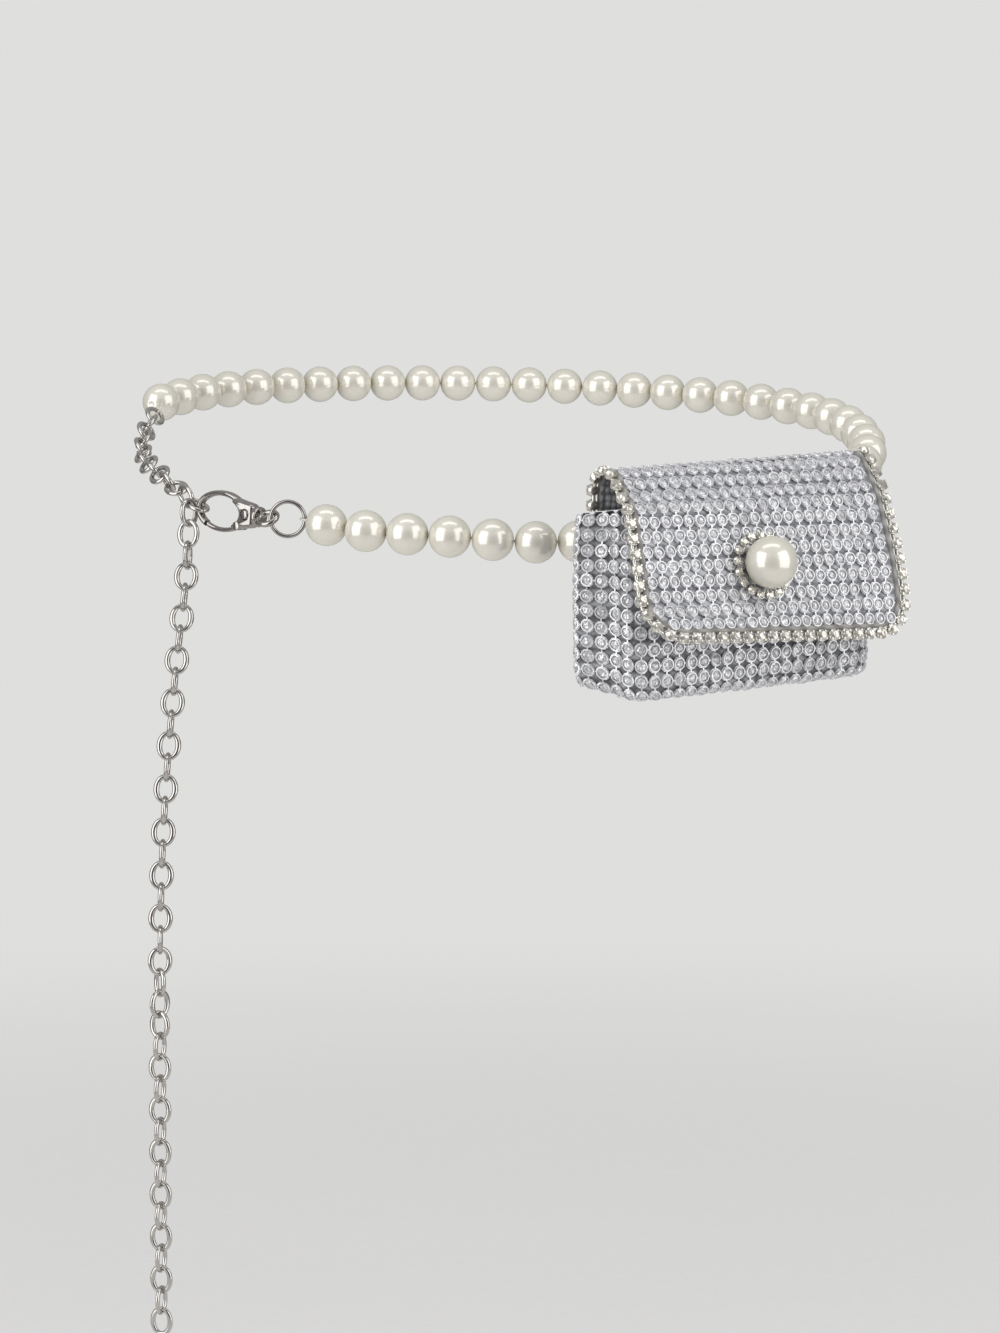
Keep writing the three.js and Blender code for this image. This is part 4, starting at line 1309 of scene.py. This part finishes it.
class BELTBAG_OT_stage(bpy.types.Operator):
    """Adds the camera, the lights, the surround and the pale floor"""

    bl_idname = "beltbag.stage"
    bl_label = "Stage"

    def execute(self, context):
        look = context.scene.belt_bag_stage
        # How high the camera stands and how far down it looks, and its focal length in the picture's pixels
        camera_height, camera_tilt, focal_pixels, picture_height = 0.0147, 4.76, 3200, 1333
        toward = Matrix.Rotation(-BAG_TURN, 4, "Z")
        place = toward @ Vector((0, -1, camera_height))
        bpy.ops.object.camera_add(location=place, rotation=(math.radians(90 - camera_tilt), 0, -BAG_TURN))
        camera = context.object
        camera.name = "camera"
        camera.data.sensor_width = 36
        camera.data.lens = camera.data.sensor_width * focal_pixels / picture_height
        camera.data.clip_start = 0.01
        context.scene.camera = camera

        def light(name, side, rise, distance, width, height, power):
            side, rise = math.radians(side), math.radians(rise)
            direction = Vector((
                math.sin(side) * math.cos(rise), -math.cos(side) * math.cos(rise), math.sin(rise),
            ))
            aim = direction.to_track_quat("Z", "Y").to_euler()
            bpy.ops.object.light_add(type="AREA", location=toward @ (direction * distance))
            lamp = context.object
            lamp.name = name
            lamp.rotation_euler = (toward @ aim.to_matrix().to_4x4()).to_euler()
            lamp.data.shape = "RECTANGLE"
            lamp.data.size, lamp.data.size_y = width, height
            lamp.data.energy = power

        light("left_softbox", -54, 11, 1.5, 1.35, 1.8, look.softbox_power * 1.2)
        light("right_softbox", 54, 11, 1.5, 1.35, 1.8, look.softbox_power)
        light("overhead_strip", 0, 78, 1.4, 1.6, 0.4, look.strip_power)

        context.scene.view_settings.view_transform = "Standard"
        world = bpy.data.worlds.new("studio")
        context.scene.world = world
        world.use_nodes = True
        tree = world.node_tree
        tree.nodes.clear()
        way = add_node(tree, "ShaderNodeTexCoord").outputs["Generated"]
        rise = add_node(tree, "ShaderNodeSeparateXYZ", {"Vector": way}).outputs["Z"]
        ceiling = add_node(tree, "ShaderNodeMapRange", {
            "Value": rise, "From Min": -0.1, "From Max": 0.9,
        }).outputs["Result"]
        room = add_node(tree, "ShaderNodeMix", {
            "Factor": ceiling, "A": (*look.surround, 1), "B": (*look.ceiling, 1),
        }, data_type="RGBA").outputs["Result"]
        facing = add_node(tree, "ShaderNodeVectorMath", {
            0: way, 1: place.normalized(),
        }, operation="DOT_PRODUCT")
        dark = add_node(tree, "ShaderNodeMapRange", {
            "Value": facing.outputs["Value"], "From Min": 0.86, "From Max": 0.97,
        }, interpolation_type="SMOOTHSTEP").outputs["Result"]
        room = add_node(tree, "ShaderNodeMix", {
            "Factor": dark, "A": room, "B": (*look.camera_side, 1),
        }, data_type="RGBA").outputs["Result"]
        seen = add_node(tree, "ShaderNodeLightPath").outputs["Is Camera Ray"]
        tone = add_node(tree, "ShaderNodeMix", {
            "Factor": seen, "A": room, "B": (*look.backdrop, 1),
        }, data_type="RGBA")
        sky = add_node(tree, "ShaderNodeBackground", {"Color": tone.outputs["Result"], "Strength": 1.0})
        add_node(tree, "ShaderNodeOutputWorld", {"Surface": sky.outputs["Background"]})

        bpy.ops.mesh.primitive_circle_add(
            vertices=64, radius=3, fill_type="NGON", location=(0, 0, look.floor_height),
        )
        floor = added("floor")
        give(floor, pale_floor())
        return {"FINISHED"}


class BELTBAG_OT_pearls(bpy.types.Operator):
    """Strings the pearls, with the thread and its end loops"""

    bl_idname = "beltbag.pearls"
    bl_label = "Strings of pearls"

    def execute(self, context):
        thread, cut_back = 0.7, PEARL_PITCH * 0.4
        last_at, last_along, last_normal = waist_link(WAIST_LINKS - 1)
        ends = {
            "front": (0, RING_RIGHT, UP, RING_WIRE),
            "back": (
                PEARL_COUNT - 1, last_at - last_along * (LINK_LENGTH - LINK_WIRE) / 2,
                last_normal.cross(last_along), LINK_WIRE,
            ),
        }
        spans = {"front": (0, FRONT_PEARLS - 1), "back": (FRONT_PEARLS, PEARL_COUNT - 1)}
        for side, (first, last) in spans.items():
            string = string_of_pearls(f"pearls_{side}", first, last)
            finish_piece(string, "pearl", f"pearl_string_{side}")
            start, end = (first - 0.5) * PEARL_PITCH, (last + 0.5) * PEARL_PITCH
            if side == "front":
                start += cut_back
            else:
                end -= cut_back
            steps = np.linspace(start, end, (last - first + 1) * 4)
            strand = tube("strand", [BELT @ PEARL_CURVE.at(step) for step in steps], thread)
            pearl, wire_at, wire_axis, wire = ends[side]
            loop = end_loop(PEARL_CURVE.at(pearl * PEARL_PITCH), wire_at, wire_axis, wire, thread)
            whole = joined(f"thread_{side}", [strand, loop])
            smooth(whole, 60)
            give(whole, twisted_thread())
            finish_piece(whole, "pearl")
        return {"FINISHED"}


class BELTBAG_OT_chain(bpy.types.Operator):
    """Links the extender chain, from the last pearl to its free end"""

    bl_idname = "beltbag.chain"
    bl_label = "Extender chain"

    def execute(self, context):
        for name in ("waist_chain", "tail_chain"):
            link = oval_link(
                "link", LINK_LENGTH, LINK_WIDTH, LINK_WIRE, segments=28, sides=10, straight=False,
            )
            chain = copies(f"{name}_links", link, chain_frames(name))
            give(chain, polished_nickel("pale_nickel_plate", "#b1aea9", "#d3d0cb"))
            finish_piece(chain, "nickel", name)
        return {"FINISHED"}


class BELTBAG_OT_clasp(bpy.types.Operator):
    """Makes the snap clasp with its gate, its swivel eye and the jump ring"""

    bl_idname = "beltbag.clasp"
    bl_label = "Snap clasp"

    def execute(self, context):
        finish_piece(clasp_hook(), "nickel", "clasp_hook")
        finish_piece(clasp_gate(), "nickel", "clasp_gate", body="gate")
        finish_piece(swivel_eye(), "nickel", "clasp_swivel_eye")
        bpy.ops.mesh.primitive_torus_add(
            major_segments=64, minor_segments=12,
            major_radius=RING_RADIUS * MM, minor_radius=RING_WIRE / 2 * MM,
        )
        ring = added("jump_ring_polished")
        ring.data.transform(BELT @ run_frame(RING_MIDDLE, RING_ACROSS, RING_ACROSS.cross(UP)))
        smooth(ring, 60)
        give(ring, polished_nickel())
        finish_piece(ring, "nickel", "jump_ring")
        return {"FINISHED"}


class BELTBAG_OT_bag(bpy.types.Operator):
    """Makes the bag's body of woven backing and rhinestone mesh, and the strap loop behind it"""

    bl_idname = "beltbag.bag"
    bl_label = "Bag body"

    def execute(self, context):
        sizes = context.scene.belt_bag_mesh
        across, down = sizes.pitch_across / MM, sizes.pitch_down / MM
        finish_piece(bag_ground(), "rhinestone_mesh", "bag_body")
        rows = round(WRAP_WALL.along / down)
        rim_step = (sizes.pitch_down - sizes.cup) / 2 / MM
        for name, wall, seed in (("mesh_sides_and_front", WRAP_WALL, 3), ("mesh_back", BACK_WALL, 4)):
            area = (0, rim_step, wall.across, wall.along + rim_step)
            cups = cup_field(name, wall, sizes, round(wall.across / across), rows, area, seed)
            finish_piece(cups, "rhinestone_mesh")
        side = 14
        width = BOTTOM_WALL.across - 2 * side
        bottom = cup_field(
            "mesh_bottom", BOTTOM_WALL, sizes, round(width / across), 3,
            (side, 0, width, BOTTOM_WALL.along), seed=5,
        )
        finish_piece(bottom, "rhinestone_mesh")
        finish_piece(strap_loop(), "strap", "back_loop")
        return {"FINISHED"}


class BELTBAG_OT_flap(bpy.types.Operator):
    """Makes the folded flap with its mesh, its cup chain and the pearl button"""

    bl_idname = "beltbag.flap"
    bl_label = "Flap"

    def execute(self, context):
        sizes = context.scene.belt_bag_mesh
        across, down = sizes.flap_pitch_across / MM, sizes.pitch_down / MM
        finish_piece(flap_ground(), "rhinestone_mesh", "bag_flap")
        width = FLAP_WIDTH - sum(FLAP_MARGINS)
        mesh = cup_field(
            "mesh_flap", FLAP_WALL, sizes, round(width / across), round(FLAP_LENGTH / down),
            (FLAP_MARGINS[0] - FLAP_WIDTH / 2, 0, width, FLAP_LENGTH), seed=6, kept=on_flap,
        )
        finish_piece(mesh, "rhinestone_mesh")
        trim = copies("cup_chain_trim", chaton("chaton", TRIM * 1.17), trim_frames())
        finish_piece(trim, "cup_chain", "flap_trim")
        wire = edge_strand("cup_chain_wire", TRIM / 2 + CLEARANCE, -FLAP_THICKNESS / 2 - 0.3, 1.1)
        smooth(wire, 60)
        give(wire, warm_cup())
        finish_piece(wire, "cup_chain")
        binding = edge_strand("flap_edge_binding", -0.4, -0.85, 1.7)
        smooth(binding, 60)
        give(binding, satin_binding())
        finish_piece(binding, "rhinestone_mesh")
        seat = FLAP_WALL.frame_at(*BUTTON_PLACE)
        radius = (HALO / 2 - HALO_STONE / 2) * MM
        lift = (CLEARANCE + HALO_STONE * 0.4) * MM
        frames = []
        for index in range(HALO_STONES):
            turn = Matrix.Rotation(2 * math.pi * index / HALO_STONES, 4, "Z")
            frames.append(seat @ turn @ Matrix.Translation((radius, 0, lift)))
        halo = copies("halo_chatons", chaton("halo_chaton", HALO_STONE), frames)
        finish_piece(halo, "cup_chain", "button_halo")
        bpy.ops.mesh.primitive_uv_sphere_add(
            segments=56, ring_count=36, radius=BUTTON / 2 * MM, location=(0, 0, BUTTON_STAND * MM),
        )
        button = added("pearl_button_bead")
        edit_points(button, lambda place: True)
        bpy.ops.mesh.bisect(
            plane_co=(0, 0, CLEARANCE * MM), plane_no=(0, 0, 1), clear_inner=True, use_fill=True,
        )
        object_mode()
        button.data.transform(seat)
        smooth(button, 60)
        give(button, imitation_pearl())
        finish_piece(button, "pearl", "pearl_button")
        return {"FINISHED"}


class BELTBAG_PT_panel(bpy.types.Panel):
    """Lists the sizes and the pieces of the belt bag"""

    bl_idname = "BELTBAG_PT_panel"
    bl_label = "Belt bag"
    bl_space_type = "VIEW_3D"
    bl_region_type = "UI"
    bl_category = "Belt bag"

    def draw(self, context):
        for group in (context.scene.belt_bag_mesh, context.scene.belt_bag_stage):
            for name in group.bl_rna.properties.keys():
                if name not in ("rna_type", "name"):
                    self.layout.prop(group, name)
        for operator in OPERATORS:
            self.layout.operator(operator.bl_idname)


OPERATORS = (
    BELTBAG_OT_stage, BELTBAG_OT_pearls, BELTBAG_OT_chain,
    BELTBAG_OT_clasp, BELTBAG_OT_bag, BELTBAG_OT_flap,
)
CLASSES = (MeshSizes, StageLook, *OPERATORS, BELTBAG_PT_panel)


def register():
    for cls in CLASSES:
        bpy.utils.register_class(cls)
    bpy.types.Scene.belt_bag_mesh = bpy.props.PointerProperty(type=MeshSizes)
    bpy.types.Scene.belt_bag_stage = bpy.props.PointerProperty(type=StageLook)


def unregister():
    del bpy.types.Scene.belt_bag_stage
    del bpy.types.Scene.belt_bag_mesh
    for cls in reversed(CLASSES):
        bpy.utils.unregister_class(cls)


def main():
    register()
    bpy.ops.beltbag.stage()
    bpy.ops.beltbag.pearls()
    bpy.ops.beltbag.chain()
    bpy.ops.beltbag.clasp()
    bpy.ops.beltbag.bag()
    bpy.ops.beltbag.flap()


if __name__ == "__main__":
    main()
